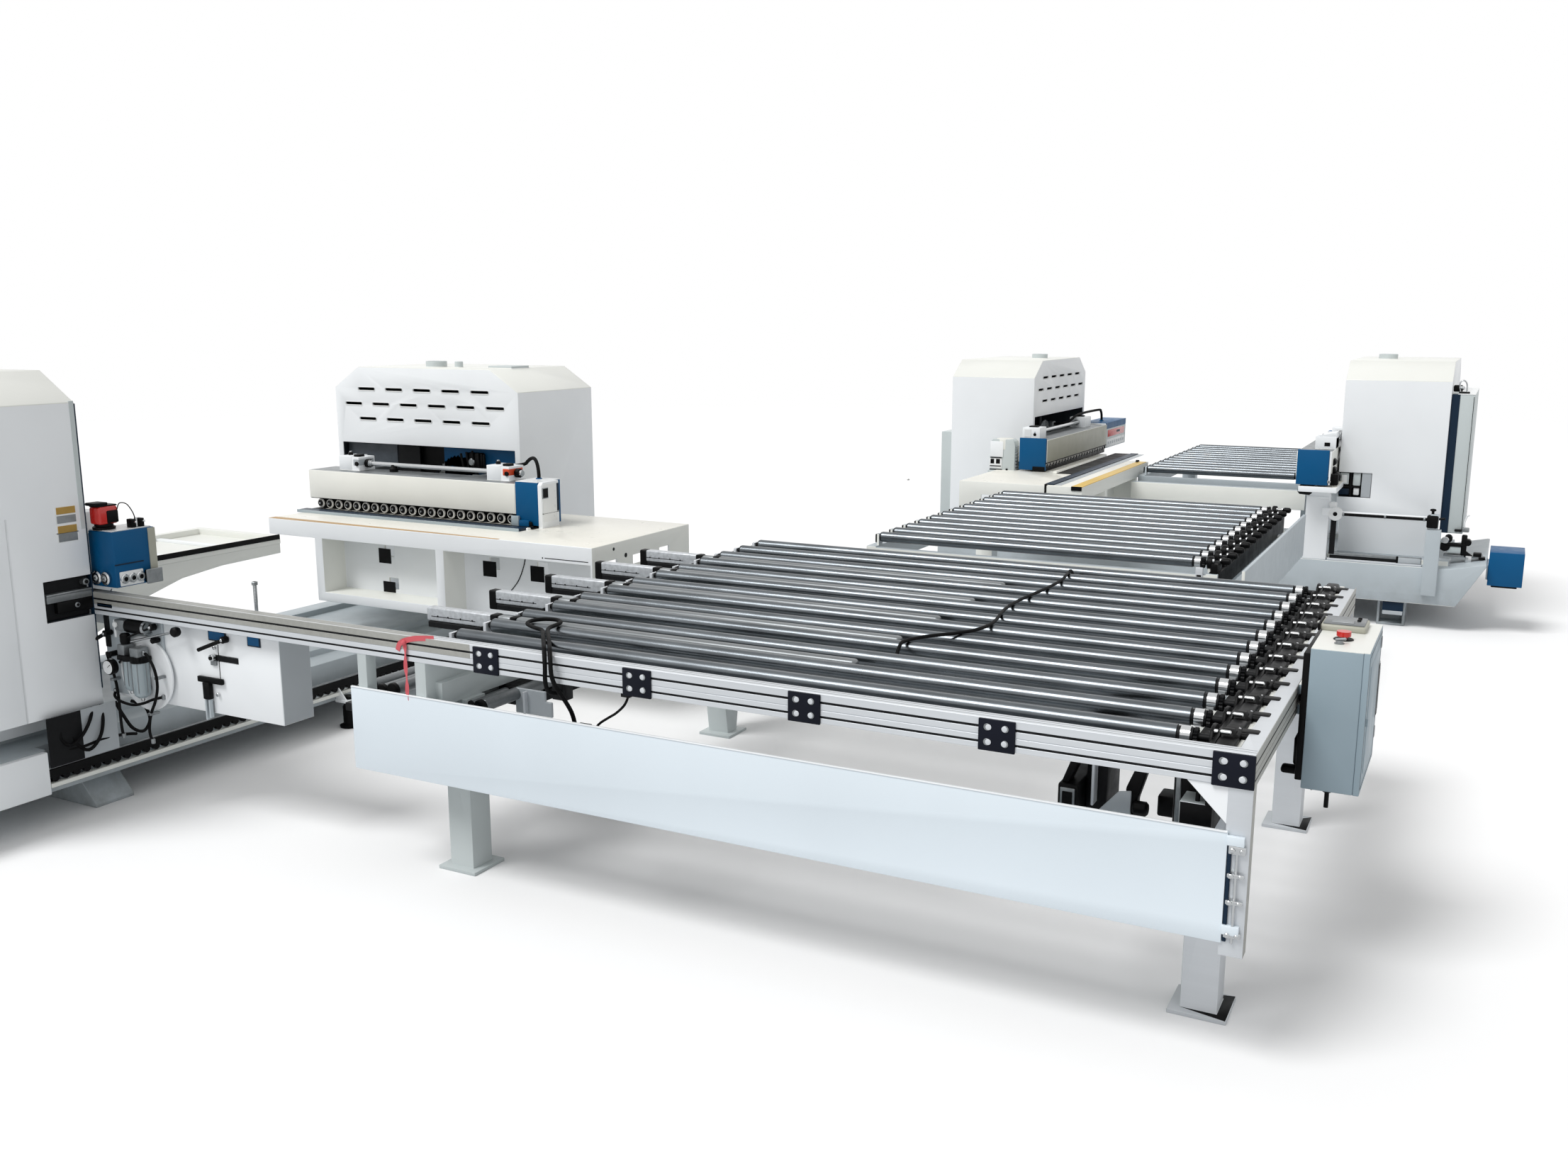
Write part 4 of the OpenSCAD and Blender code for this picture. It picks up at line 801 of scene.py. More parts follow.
# ---------------------------------------------------------------- screws
def screw_mesh():
    """A socket screw head of unit diameter, its top along Z, with a six-sided recess."""
    sides, part = 18, bmesh.new()
    x, y, z = Matrix.Identity(3)
    rings = [around(part, z * high, x, y, r, sides) for high, r in ((0.0, 0.5), (0.34, 0.5), (0.42, 0.44))]
    hexes = [around(part, z * high, x, y, 0.24, 6) for high in (0.42, 0.16)]
    part.faces.new(rings[0][::-1])
    for low, high in [*zip(rings, rings[1:]), hexes]:
        for k in range(len(low)):
            n = (k + 1) % len(low)
            part.faces.new((low[k], low[n], high[n], high[k]))
    for k in range(6):
        part.faces.new((*(rings[2][(3 * k + step) % sides] for step in range(4)), hexes[0][(k + 1) % 6], hexes[0][k]))
    part.faces.new(hexes[1])
    bmesh.ops.recalc_face_normals(part, faces=part.faces[:])
    mesh = bpy.data.meshes.new("Screw")
    part.to_mesh(mesh)
    part.free()
    return mesh


def screw_tree():
    """A screw head on each point, turned along the point's aim."""
    add = Tree("Screw_field", Screw="Object", Head_diameter=0.018, Finish="Material")
    aim = add("GeometryNodeInputNamedAttribute", data_type="FLOAT_VECTOR", Name="aim")
    size = add("GeometryNodeInputNamedAttribute", data_type="FLOAT", Name="size")
    head = add("GeometryNodeObjectInfo", Object=add["Screw"]).outputs["Geometry"]
    return add.finished(add["Geometry"], head, "Finish", Scale=add.maths("MULTIPLY", size, add["Head diameter"]),
                        Rotation=add("FunctionNodeAlignRotationToVector", axis="Z", Vector=aim))


SCREWS = {}


def screws(body, place, spots, aim, d, finish_name="screw"):
    """Notes screws for their body; spots and aim are in the place's millimetres."""
    for spot in spots:
        at = place(*spot)
        way = (place(*(s + a for s, a in zip(spot, aim))) - at).normalized()
        SCREWS.setdefault((body, finish_name), []).append((at, way, d / 18.0))


class SAWLINE_OT_screws(bpy.types.Operator):
    """Screw heads on plates, covers and flanges"""

    bl_idname = "sawline.screws"
    bl_label = "Screws"

    def execute(self, context):
        tree = screw_tree()
        master = linked("Screw_master", screw_mesh())
        for (body, finish_name), found in SCREWS.items():
            mesh = bpy.data.meshes.new("points")
            mesh.from_pydata([at for at, _, _ in found], [], [])
            aim = mesh.attributes.new("aim", "FLOAT_VECTOR", "POINT")
            size = mesh.attributes.new("size", "FLOAT", "POINT")
            for i, (_, way, scale) in enumerate(found):
                aim.data[i].vector = way
                size.data[i].value = scale
            made = baked(f"screws_{finish_name}_{body}", tree, mesh, Screw=master,
                         Head_diameter=context.scene.saw_sizes.screw, Finish=MATERIALS[finish_name])
            rounded(made.data)
            settle(made, body, "bright_steel")
        bpy.data.objects.remove(master)
        return {"FINISHED"}


# ---------------------------------------------------------------- solids with rounded edges
HOOD_TOP = {"a": 1700, "b": 1625, "c": 1593, "d": 1625}
HOOD_DEPTH = {"a": 650, "b": 650, "c": 605, "d": 605}
BEAM_OUT = {"a": 215, "b": 340, "c": 215, "d": 215}
BEAM_END = {"a": 1261, "b": 1518, "c": 1637, "d": 1637}
FAR_CAP = {"a": 80, "b": 0, "c": 600, "d": 80}


def hood_finish(key):
    """Cream above, painted shade within the cavity, and the saws' own colours on each face of a hood."""
    depth, top = HOOD_DEPTH[key], HOOD_TOP[key]

    def choose(spot, way):
        x, y, z = head_spot(key, spot)
        inside = 3 < x < 1287 and 3 < y < depth - 3 and 470 < z < top - 3
        if key == "d" and 300 < x < 1250 and depth + 2 < y < 640 and 582 < z < 1434:
            return "navy"
        if y > depth + 2:
            return "box"
        if way.z > 0.2 and z > 1300 and z < top + 2 and not (inside and way.z > 0.95 and z < top - 8):
            return "cream"
        # painted shade: inside the hood's cavity, above z 700, the faces are dark
        if inside:
            return "inside" if z > 700 else ("hood" if key == "d" and z < 669 else "base")
        if z > top + 2:
            return "box"
        return "hood"
    return choose


def beam_finish(key):
    """White beam, blue end blocks and grey arms; its lower band and underside are dark as painted shade, and the third
    beam's +X faces drab as painted shade.
    """
    end, out = BEAM_END[key], BEAM_OUT[key]

    def choose(spot, way):
        x, y, z = head_spot(key, spot)
        if x > end + 0.5 or (x < 111.5 and FAR_CAP[key]):
            return "blue"
        if y > -out + 201:
            return "dull"
        if z > 1084:
            return "hood"
        # painted shade: the beam's lower band and its faces looking down are dark
        if z < 932 or (way.z < -0.5 and z < 1000):
            return "dark"
        # painted shade: the third beam's faces looking along +X take the darker drab
        return "drab" if key == "c" and way.x > 0.5 else "beam"
    return choose


def table_finish(key):
    """Laminate on top, dark in the slots, paint below."""
    def choose(spot, way):
        z = spot.z / MM
        if way.z > 0.9 and z > 866:
            return "table"
        if key == "b" and way.y < -0.5:
            return "hood"
        return "cream" if key in "bc" else "hood"
    return choose


def plain(finish_name):
    return lambda spot, way: finish_name


def softened(name, choose, width=2.5):
    """A copy of a node with rounded edges and a finish for each of its faces."""
    part = bmesh.new()
    part.from_mesh(NODES[name].data)
    bmesh.ops.remove_doubles(part, verts=part.verts[:], dist=0.00001)
    bmesh.ops.dissolve_limit(part, angle_limit=math.radians(1.0), verts=part.verts[:], edges=part.edges[:])
    mesh = bpy.data.meshes.new(name + "_skin")
    part.to_mesh(mesh)
    part.free()
    made = linked(name + "_skin", mesh)
    edge = made.modifiers.new("Edges", "BEVEL")
    edge.width = width * MM
    edge.segments = 2
    edge.limit_method = "ANGLE"
    edge.angle_limit = math.radians(35)
    edge.use_clamp_overlap = False
    made.data = result = evaluated(made)
    bpy.data.meshes.remove(mesh)
    result.name = name + "_skin"
    result.materials.clear()
    chosen = [choose(face.center, face.normal) for face in result.polygons]
    finishes = list(dict.fromkeys(chosen))
    dressed(result, finishes, [finishes.index(one) for one in chosen], 40)
    return settle(made, BODY_OF[name], SLOTS[name], name)


class SAWLINE_OT_skins(bpy.types.Operator):
    """Rounded edges and finishes for the sheet metal and the beams"""

    bl_idname = "sawline.skins"
    bl_label = "Sheet metal and beams"

    def execute(self, context):
        width = context.scene.saw_sizes.edge / MM
        for key in "abcd":
            softened("cabinet_" + key, hood_finish(key), width)
            softened("pressure_beam_" + key, beam_finish(key), width)
            softened("work_table_" + key, table_finish(key), width)
        # painted shade: the front under the fourth saw keeps the darker base grey, while the front further left is
        # cream
        softened("base_beam_2", lambda spot, way: "blue" if spot.x > 2.915 and spot.z > 0.29 else (
            "cream" if spot.x < 1.95 and way.y < -0.5 else "base"), 3.0)
        for name, finish_name, width in (("base_beam_1", "base", 3.0), ("infeed_frame", "cream", 2.0),
                                         ("table_frame_3", "base", 2.0)):
            softened(name, plain(finish_name), width)
        softened("table_frame_2", lambda spot, way: "cream" if way.y < -0.5 else "base", 2.0)
        # the box's sides are a darker blue-grey than its cream top: paint and painted shade
        softened("control_box", lambda spot, way: "cream" if way.z > 0.5 else "slate", 3.0)
        return {"FINISHED"}


# ---------------------------------------------------------------- roller table 1
PLATES = [57, 636, 1201, 1770, 2373]
BARS_Y = [403, 753, 1103, 1453, 1803]


def table_one_finish(spot, way):
    """Rails and legs in bare aluminium, the right rail's outer side darker as painted shade, the drive side and the
    glands black, the cover strip white.
    """
    x, y, z = spot / MM
    if 2340 < x < 2372 or (-1870 < x < -1700 and z < 862 and FRONT + 46 < y < FRONT + 2300 and z > 835):
        return "black"
    if 2372 < x < 2429 and FRONT + 50 < y and z > 836:
        return "black" if z > 850 or abs(way.z) < 0.5 else "cream"
    if (330 < x < 384 or 600 < x < 652) and z < 862 and FRONT + 7 < y < FRONT + 90 and z < 815:
        return "dark"
    # painted shade: the right rail's faces that look along +X are darker
    if way.x > 0.5 and x > 2465:
        return "rail_side"
    return "box" if z < 770 and x < 2300 else "extrusion"


class SAWLINE_OT_table_one(bpy.types.Operator):
    """Rail faces, joint plates, drive blocks, lift bars, brackets and hinges of the first roller table"""

    bl_idname = "sawline.table_one"
    bl_label = "Roller table 1 fittings"

    def execute(self, context):
        softened("table_frame_1", table_one_finish, 1.2)
        self.rail_faces()
        self.plates()
        self.drive_side()
        self.lift_bars()
        self.below()
        self.panel()
        self.ribbon()
        return {"FINISHED"}

    def rail_faces(self):
        """The profile faces between the slots of the front and right rails, with darker strips of painted shade on the
        right rail's side and the front rail's left end.
        """
        shape = Shape(place_rail)
        # the darker strips on the front rail's left end and on the right rail's side are painted shade
        for low, high in ((-94.2, -79.0), (-72.4, -57.0), (-54.6, -37.6), (-30.4, -8.6)):
            for tone, x, y in (("rail_side" if low > -56 else "extrusion", (-1911, 40), (-1.6, 0.4)),
                               ("extrusion", (40, 2472), (-1.6, 0.4)), ("rail_side", (2472.6, 2474.4), (2, 2349))):
                shape.block(tone, x, y, (low, high), 0.7)
        for z in (-75.7, -34.0):
            shape.add("dark -1911:2472 -0.5:0.3 -3.2:3.2 0; dark 2472.8:2473.3 2:2349 -3.2:3.2 0", (0, 0, z))
        shape.add("rail_side -1908:-150 3:42 -8.6:-7.8 0.3")
        for y in (14, 31):
            shape.add("dull -1910:2471 -0.9:0.9 -8.6:-7.6 0", (0, y, 0))
        shape.done("rail_faces", "line", "rail_aluminium")

    def plates(self):
        """Black joint plates on the front rail, each with four washers and screws."""
        shape = Shape()
        for x in PLATES:
            shape.add("plate -0.8:100.8 -7.5:0 772:859 2 2", (x, FRONT, 0))
            for u in (0.24, 0.74):
                for v in (0.25, 0.72):
                    spot_x, spot_z = x + 100 * u, 775 + 87 * v
                    shape.add("rod dull 0 -7.4:-9 0 19 0.5 24", (spot_x, FRONT, spot_z))
                    screws("line", place_line, [(spot_x, FRONT - 9.0, spot_z)], (0, -1, 0), 16)
        shape.done("joint_plates", "line", "black_rubber")

    def drive_side(self):
        """Rounded black guards, chrome hubs and knobs beside the right rail."""
        shape = Shape(place_rail)
        guard = values("-52:-110 52:-110 52:-22 36:6 12:14 -12:14 -36:6 -52:-22")
        for y in ROLLERS_Y:
            shape.prism("black", [(y + across, z) for across, z in guard], "x", (2343, 2352), 2.0)
            shape.add("""rod black 2364.5:2402 0 -25 66 5 28; black 2364.5:2412 -20:130 -60:-2 10 3;
                rod steel 2368:2396 -40 8 12 3; rod steel 2352:2362 -30 4 12 1; black 2343:2366 53:122 -66:-26 6 2;
                black 2404:2452 28:66 -34:-5 5 2; rod steel 2398:2406 48 -12 22 2;
                cream 2411:2429 70:150 -28:-16 3 2""", (0, y, 0))
        shape.add("black 2364:2412 50:2300 -112:-10 3; black 2280:2364 50:2300 -112:-66 3")
        shape.done("drive_blocks", "line", "black_rubber")
        shape = Shape(place_rail)
        for y in ROLLERS_Y:
            shape.add("dark -166:-158 -26:26 -84:-30 4 2", (0, y, 0))
        shape.done("left_bearings", "line", "black_rubber")

    def lift_bars(self):
        """Five lift bars: a slotted white end on the left and a rounded grey tread to the right."""
        shape = Shape(place_rail)
        for i, y in enumerate(BARS_Y):
            shape.add("""galvanised -489:-190 -20:20 -58:-8.4 6 3; dark -486:-190 -19:20 -83:-60 3;
                dark -466:-262 -20.9:-19.5 -41.5:-39 0.3""", (0, y, 0))
            for x in (-436, -388, -330, -276):
                shape.add("rod black 0 -21.2:-19.6 -39 7 0.4 12", (x, y, 0))
            if i:
                shape.add("black -492:-452 -21:21 -84:-7.6 7 3", (0, y, 0))
            shape.add("""black -196:-166 -21.5:21.5 -85:-7 6 2; dull -168:-100 -17:17 -78:-10 9 3;
                black -108:-84 -21.5:21.5 -85:-7 6 2; tread -86:1229 -20:20 -83:-8.2 13 4""", (0, y, 0))
        shape.done("lift_bars_skin", "belt_lift", SLOTS["belt_lift"], "belt_lift")

    def below(self):
        """Profile ends, brackets and boxes hung below the front rail, behind the panel."""
        shape = Shape(place_rail)
        for x, z in ((-560, -262), (-508, -272), (-456, -262), (-220, -280), (-168, -272), (-116, -280), (-64, -272)):
            shape.add("rod tread 0 170:1150 0 44 4 20; rod black 0 150:172 0 50 4 20", (x, 0, z))
        shape.add("""dark -590:-40 60:150 -330:-300 4 2; extrusion -396:-330 352:1000 -334:-286 5 2;
            dark -384:-342 350.5:353 -322:-298 3; black -330:-296 350:1000 -340:-280 4 2;
            dull -296:-252 354:1010 -330:-276 5 2; dark -252:-60 420:1010 -342:-300 6 2;
            black -186:-66 360:470 -304:-250 12 3;
            prism shaded y 348:358 2 1 -66:-250 64:-250 64:-286 92:-286 92:-340 -66:-340;
            extrusion -20:-12 330:350 -336:-256 1.5; black 1956:2012 110:430 -290:-196 8 3;
            dull 1964:2004 107:111 -284:-206 3 2; black 1970:1998 105.5:108.5 -276:-216 3;
            prism black y 120:180 5 2 1962:-198 1982:-198 2024:-96 2000:-96; dark 2012:2070 190:330 -290:-98 6 2;
            extrusion 2036:2044 150:190 -260:-98 2; prism shaded y 140:150 3 2 2040:-290 2112:-206 2146:-200 2146:-290;
            prism black y 150:200 6 2 2128:-198 2168:-98 2196:-98 2158:-230 2158:-290 2140:-290;
            rod black 2150:2190 150 -246 40 6; black 2190:2262 260:330 -300:-240 6 2;
            black 2256:2322 130:260 -290:-98 8 2; dull 2262:2276 126:131 -284:-104 2; rod steel 2300 132:118 -198 24 3;
            rod steel 2290 132:120 -252 20 3; rod steel 2306 132:120 -262 16 3;
            pipe black 6 12 10 2336:60:-100 2330:66:-180 2340:66:-240 2366:66:-290;
            prism hood y 3:9 1 1 2312:-96 2419:-96 2419:-202""")
        shape.done("below_table_1", "line", "black_rubber")

    def panel(self):
        """Bright folded lip on the panel, its shaded end, and the chrome hinges on the post."""
        softened("front_panel", lambda spot, way: (
            "dark" if spot.y / MM > FRONT + 0.5 and spot.x / MM < 600 else "panel"), 1.2)
        shape = Shape(place_rail)
        shape.add("hood -486:2419 -10.5:-0.2 -214:-210.2 1.5 2; navy 2421:2431 -6:-0.5 -500:-240 1.5")
        for low, high in ((-266, -244), (-328, -316), (-398, -386), (-486, -470)):
            shape.block("steel", (2424, 2466), (-13, -4), (low, high), 3.0, 2)
            shape.rod("steel", (2434, -13, (low + high) / 2), (2434, -19, (low + high) / 2), 13, 2.0)
            shape.rod("steel", (2456, -13, (low + high) / 2), (2456, -17, (low + high) / 2), 10, 2.0)
        shape.add("rod steel 2445 -9 -500:-240 7 1")
        shape.done("panel_fittings", "line", SLOTS["front_panel"])

    def ribbon(self):
        """A red marking ribbon knotted round the rail, with one hanging end."""
        width, thick = 13.0, 0.9
        loops = [
            "-268:-3.2:-62 -258:-4.2:-40 -240:-5:-28 -218:-4.4:-20 -188:-3:-13 -150:-1.5:-8.5 -112:2:-6",
            "-234:-6.4:-30 -231:-7:-60 -234:-6:-110 -231:-6.4:-160 -233:-6:-205 -232:-6.2:-234",
        ]
        shape = Shape(place_rail)
        length = 0.0
        for number, route in enumerate(loops):
            line = curve_points(values(route), 7)
            length += path_length(line)
            shape.band("ribbon", line, width if number else width * 1.4, thick, 0.5 * number)
        shape.turned("ribbon", (-236, -8.5, -40), (0.2, 0.1, 1), [(0, 3), (3, 8), (9, 9.5), (15, 7), (18, 2)], 14)
        made = shape.done("ribbon", "line", None)


# ---------------------------------------------------------------- press wheels and vents
WHEELS = {"a": (150, 1170), "b": (150, 1505), "c": (150, 1620), "d": (430, 1620)}


def wheel_tree():
    """A row of press wheels along X: rubber ring, dark hub, axle and cap on each."""
    add = Tree("Press_wheels", Ring_diameter=0.038, Ring_width=0.012, Count=21, Pitch=0.05,
               Ring_finish="Material", Hub_finish="Material", Cap_finish="Material")

    def circle(size, sides):
        return add("GeometryNodeCurvePrimitiveCircle", Resolution=sides, Radius=add.maths("MULTIPLY", add[size], 0.5))

    def disc(radius, depth, push, finish_name):
        made = add("GeometryNodeMeshCylinder", fill_type="NGON", Vertices=20, Radius=radius, Depth=depth)
        return add.shown(add.moved(made, Translation=(0, 0, push)), finish_name)

    band = add("GeometryNodeCurveToMesh", Curve=circle("Ring diameter", 28), Profile_Curve=circle("Ring width", 8))
    wheel = add.joined(add.shown(band, "Ring finish"), disc(0.0165, 0.016, 0.0, "Hub finish"),
                       disc(0.006, 0.034, -0.012, "Hub finish"), disc(0.0055, 0.005, 0.0105, "Cap finish"))
    return add.finished(add.row("X"), wheel, "Ring finish", True)


def rim_tree():
    """A lip round each point's slot: a round-ended frame in the XZ plane."""
    add = Tree("Vent_rims", Slot_length=0.126, Slot_height=0.020, Lip=0.0045, Finish="Material")
    outline = add("GeometryNodeCurvePrimitiveQuadrilateral", Width=add["Slot length"], Height=add["Slot height"])
    rounding = add("GeometryNodeFilletCurve", mode="POLY", Count=4, Radius=0.008, Curve=outline)
    section = add("GeometryNodeCurvePrimitiveCircle", Resolution=6, Radius=add.maths("MULTIPLY", add["Lip"], 0.5))
    band = add("GeometryNodeCurveToMesh", Curve=rounding, Profile_Curve=section)
    return add.finished(add["Geometry"], add.moved(band, Rotation=(math.pi / 2, 0, 0)), "Finish")


def to_place(made, place):
    """Moves a mesh built in a head's axes, in metres, to that head's place."""
    for v in made.data.vertices:
        v.co = place(*(v.co / MM))
    if mirrored(place):
        made.data.flip_normals()
    rounded(made.data)


class SAWLINE_OT_wheels(bpy.types.Operator):
    """Press wheels under the beams, on their dark bars"""

    bl_idname = "sawline.wheels"
    bl_label = "Press wheels"

    def execute(self, context):
        tree = wheel_tree()
        for key, (first, last) in WHEELS.items():
            out = BEAM_OUT[key]
            made = baked("press_ring_" + key, tree, Count=21,
                         Pitch=(last - first - 50) / 20 * MM, Ring_finish=MATERIALS["wheel"],
                         Hub_finish=MATERIALS["black"], Cap_finish=MATERIALS["dull"])
            made.data.transform(Matrix.Translation(Vector((first + 25, -out + 18, 903)) * MM)
                                @ Matrix.Rotation(math.pi / 2, 4, "X"))
            to_place(made, PLACES[key])
            settle(made, "beam_" + key, "wheel_rubber", "press_wheels_" + key)
            bar = Shape(PLACES[key])
            bar.block("black", (first, last), (-out + 90, -out + 118), (895, 991), 1.5)
            bar.block("black", (first, last), (-out + 34, -out + 90), (874, 960), 1.0)
            bar.done("press_bar_" + key, "beam_" + key, "black_rubber")
        return {"FINISHED"}


class SAWLINE_OT_vents(bpy.types.Operator):
    """Pale lips round the vent slots of the hoods"""

    bl_idname = "sawline.vents"
    bl_label = "Vent lips"

    def execute(self, context):
        tree = rim_tree()
        for key in "abcd":
            spots = [Vector((635 + (i - (count - 1) / 2) * 200, -0.6, HOOD_TOP[key] - down)) * MM
                     for count, down in ((5, 120), (6, 202), (5, 284)) for i in range(count)]
            mesh = bpy.data.meshes.new("points")
            mesh.from_pydata(spots, [], [])
            made = baked("vent_lips_" + key, tree, mesh, Finish=MATERIALS["label"])
            to_place(made, PLACES[key])
            settle(made, HEAD_BODY[key], "hood_paint")
        return {"FINISHED"}


# ---------------------------------------------------------------- first saw and its service unit
def lever(shape, hub, tip, d):
    """A clamp lever: round hub, bent arm and rounded grip."""
    hub, tip = Vector(hub), Vector(tip)
    out = Vector((0, 1, 0))
    shape.rod("black", hub - 13 * out, hub + 13 * out, 26, 3.0)
    shape.rod("steel", hub + 13 * out, hub + 17 * out, 12, 1.0)
    route = [hub, hub + (tip - hub) * 0.25 + 8 * out, hub + (tip - hub) * 0.6 + 10 * out, tip + 10 * out]
    shape.sweep("black", curve_points(route, 5), d, 12)


def rack_tree():
    """Rounded teeth in a row along Y, each a short bar along X."""
    add = Tree("Rack_teeth", Count=10, Pitch=0.044, Tooth_radius=0.014, Width=0.018, Finish="Material")
    tooth = add("GeometryNodeMeshCylinder", fill_type="NGON", Vertices=14, Radius=add["Tooth radius"],
                Depth=add["Width"])
    return add.finished(add.row("Y"), add.moved(tooth, Rotation=(0, math.pi / 2, 0)), "Finish")


class SAWLINE_OT_saw_a(bpy.types.Operator):
    """Blank plates, end block, service unit, levers and hoses of the first saw"""

    bl_idname = "sawline.saw_a"
    bl_label = "First saw fittings"

    def execute(self, context):
        self.hood()
        self.end_block()
        self.housing()
        self.unit()
        self.rail()
        self.rack()
        return {"FINISHED"}

    def hood(self):
        """Four blank plates on the hood's end face, its seams and the dark notch below."""
        shape = Shape(place_a)
        for low, high, tone in ((1174, 1200, "brass"), (1140, 1168, "dull"),
                                (1103, 1130, "brass"), (1070, 1102, "dull")):
            shape.block("label", (1286, 1291), (34, 123), (low - 3, high + 3), 0.6)
            shape.block(tone, (1288, 1292.4), (40, 117), (low, high), 0.5)
        shape.add("""navy 1270:1292.2 -2.2:3 480:1580 1.2; box 1276:1291.4 3:22 1108:1590 0.8;
            dark 1130:1270 6:190 776:928 3; tread 1150:1291 3:190 846:872 3 2; dull 1150:1292 3:190 872:880 2 2;
            black 1200:1291 3:150 800:845 5 2""")
        for y, z, d in ((26, 906, 26), (70, 824, 20)):
            shape.rod("dull", (1262, y, z), (1296, y, z), d, 2.0)
            shape.rod("black", (1284, y, z), (1299, y, z), d * 0.55, 1.5)
        shape.done("hood_fittings_a", "line", "hood_paint")

    def end_block(self):
        """Red knob, clamp, wire and feet of the blue block at the beam's end."""
        shape = Shape(place_a)
        shape.add("""drab 1395:1405 -210:-178 882:1093 2; navy 1398:1402.5 -150:-25 966:971 0.8;
            label 1262:1392 -202:-30 1094:1099 1.5; turned black 1310 -60 1098 z 28 0:40 10:42 14:34 70:34 86:30 90:0;
            red 1286:1346 -100:-18 1120:1188 9 3; black 1340:1350 -98:-50 1124:1172 4 2;
            black 1280:1340 -64:-8 1192:1204 4 2; black 1284:1338 -104:-22 1186:1193 3 2""")
        for y in (-172, -136):
            shape.add("black 1352:1384 -10:10 1098:1132 3 2; rod steel 1368:1398 0 1118:1122 9 1", (0, y, 0))
        shape.add("""rod label 1370 -154 1100:1136 12 2; black 1398:1418 -204:-150 884:932 3 2;
            dull 1418:1426 -212:-142 880:936 2""")
        for y in (-58, -92, -126):
            shape.turned("steel", (1400, y, 912), (1, 0, 0), [(0, 17), (10, 19), (14, 16), (14, 9), (6, 8)], 20)
            shape.add("rod black 1401:1409 0 912 14 2", (0, y, 0))
        shape.add("label 1398:1406 -142:-40 884:940 6 2")
        for x, y in ((1300, -24), (1350, -24)):
            shape.turned("steel", (x, y, 915), (0, 1, 0), [(0, 24), (4, 26), (10, 26), (14, 20), (14, 12), (4, 11)], 24)
        shape.add("pipe black 6 4 8 1344:-96:1170 1352:-104:1196 1368:-124:1190 1372:-146:1150 1372:-150:1118")
        shape.done("end_block_fittings_a", "beam_a", "blue_paint")

    def housing(self):
        """Seams, slots, plates and handles of the housing below the front rail."""
        shape = Shape(place_a)
        shape.add("""dark 1908:1911 -45.5:-43.6 560:712 0.4; dark 1840:1911 -45.5:-43.2 560:563 0.4;
            black 1800:1930 -43.5:-30 562:584 3 2; black 1834:1868 -43:-22 500:566 4 2;
            dark 1892:2012 -47:-44 650:670 0.6; rod steel 1886 -42:-26 662 26 2; rod black 1886 -27:-22 662 14 1;
            dull 1872:1900 -44:-36 632:652 1.5""")
        for x, w, h in ((1866, 92, 40), (2070, 66, 48)):
            shape.block("navy", (x, x + w), (-44, -40), (726, 726 + h), 1.0)
            shape.block("blue", (x + 5, x + w - 5), (-41.5, -39.2), (731, 721 + h), 0.6)
        lever(shape, (1964, -30, 740), (1850, -16, 694), 15)
        shape.add("""dull 1828:1866 -46:-36 446:490 1.5; base 1838:1846 -40:-24 420:500 1.5;
            base 1858:1866 -40:-24 430:506 1.5""")
        for z in (520, 700):
            shape.add("rod steel 1896 -42:-34 0 14 1", (0, 0, z))
        shape.add("shaded 2219:2226 -185:-47 446:773 1")
        shape.done("housing_fittings_a", "line", "base_paint")
        screws("line", place_a, [(2200, -45, 470), (2200, -45, 760), (1930, -45, 470)], (0, 1, 0), 9)

    def unit(self):
        """Regulator with two clear bowls, gauge, round plate and hose loops."""
        shape = Shape(place_a)
        shape.add("""turned hood 1520 -34 560 y 56 0:146 6.5:146 8.5:143 8.5:120 6:118 6:30 8.5:28 8.5:0;
            black 1436:1560 -29:32 616:634 4 2; dull 1436:1476 -22:28 634:676 5 2; dull 1510:1556 -22:32 634:672 6 2;
            turned black 1456 2 676 z 24 0:17 12:19 34:19 40:14 42:0""")
        for x, low, r in ((1470, 492, 23), (1530, 472, 31)):
            shape.turned("lamp", (x, 3, low), (0, 0, 1), [(0, 0), (2, r * 0.55), (12, r * 0.92), (22, r), (126, r),
                                                           (142, r * 0.98)], 28)
            shape.turned("black", (x, 3, 612), (0, 0, 1), [(0, r + 3), (12, r + 4), (24, r + 2)], 28)
            shape.turned("steel", (x, 3, low - 12), (0, 0, 1), [(0, 5), (4, 7), (12, 7)], 16)
            for turn in range(6):
                angle = turn * math.pi / 3
                shape.rod("dull", (x + (r + 1.2) * math.cos(angle), 3 + (r + 1.2) * math.sin(angle), low + 24),
                          (x + (r + 1.2) * math.cos(angle), 3 + (r + 1.2) * math.sin(angle), 612), 2.6, 0.4, 8)
        shape.add("""turned black 1400 18 585 y 28 0:22 4:30 26:30 30:27;
            turned label 1400 43 585 y 28 0:26 5.2:26 5.4:0; rod dark 1400:1416 48:48.8 585:597 2.2 0.3 8;
            rod steel 1424:1446 10 600:616 14 1.5""")
        shape.done("regulator_a", "line", "bright_steel", "service_unit_a")
        back = Shape(place_a)
        back.add("base 1290.4:1620 -45:-35 458:775 1.5")
        for x, z in ((1330, 700), (1350, 620), (1600, 700)):
            back.add("rod black 0 -35:-2 0 22 2.5", (x, 0, z))
        back.add("dark 1296:1322 -36:-28 640:770 2; hood 1380:1392 -36:-8 690:760 2")
        back.done("service_plate_a", "line", "base_paint")
        arms = Shape(place_a)
        lever(arms, (1330, -12, 700), (1250, -4, 656), 15)
        lever(arms, (1600, -12, 752), (1480, -2, 704), 8)
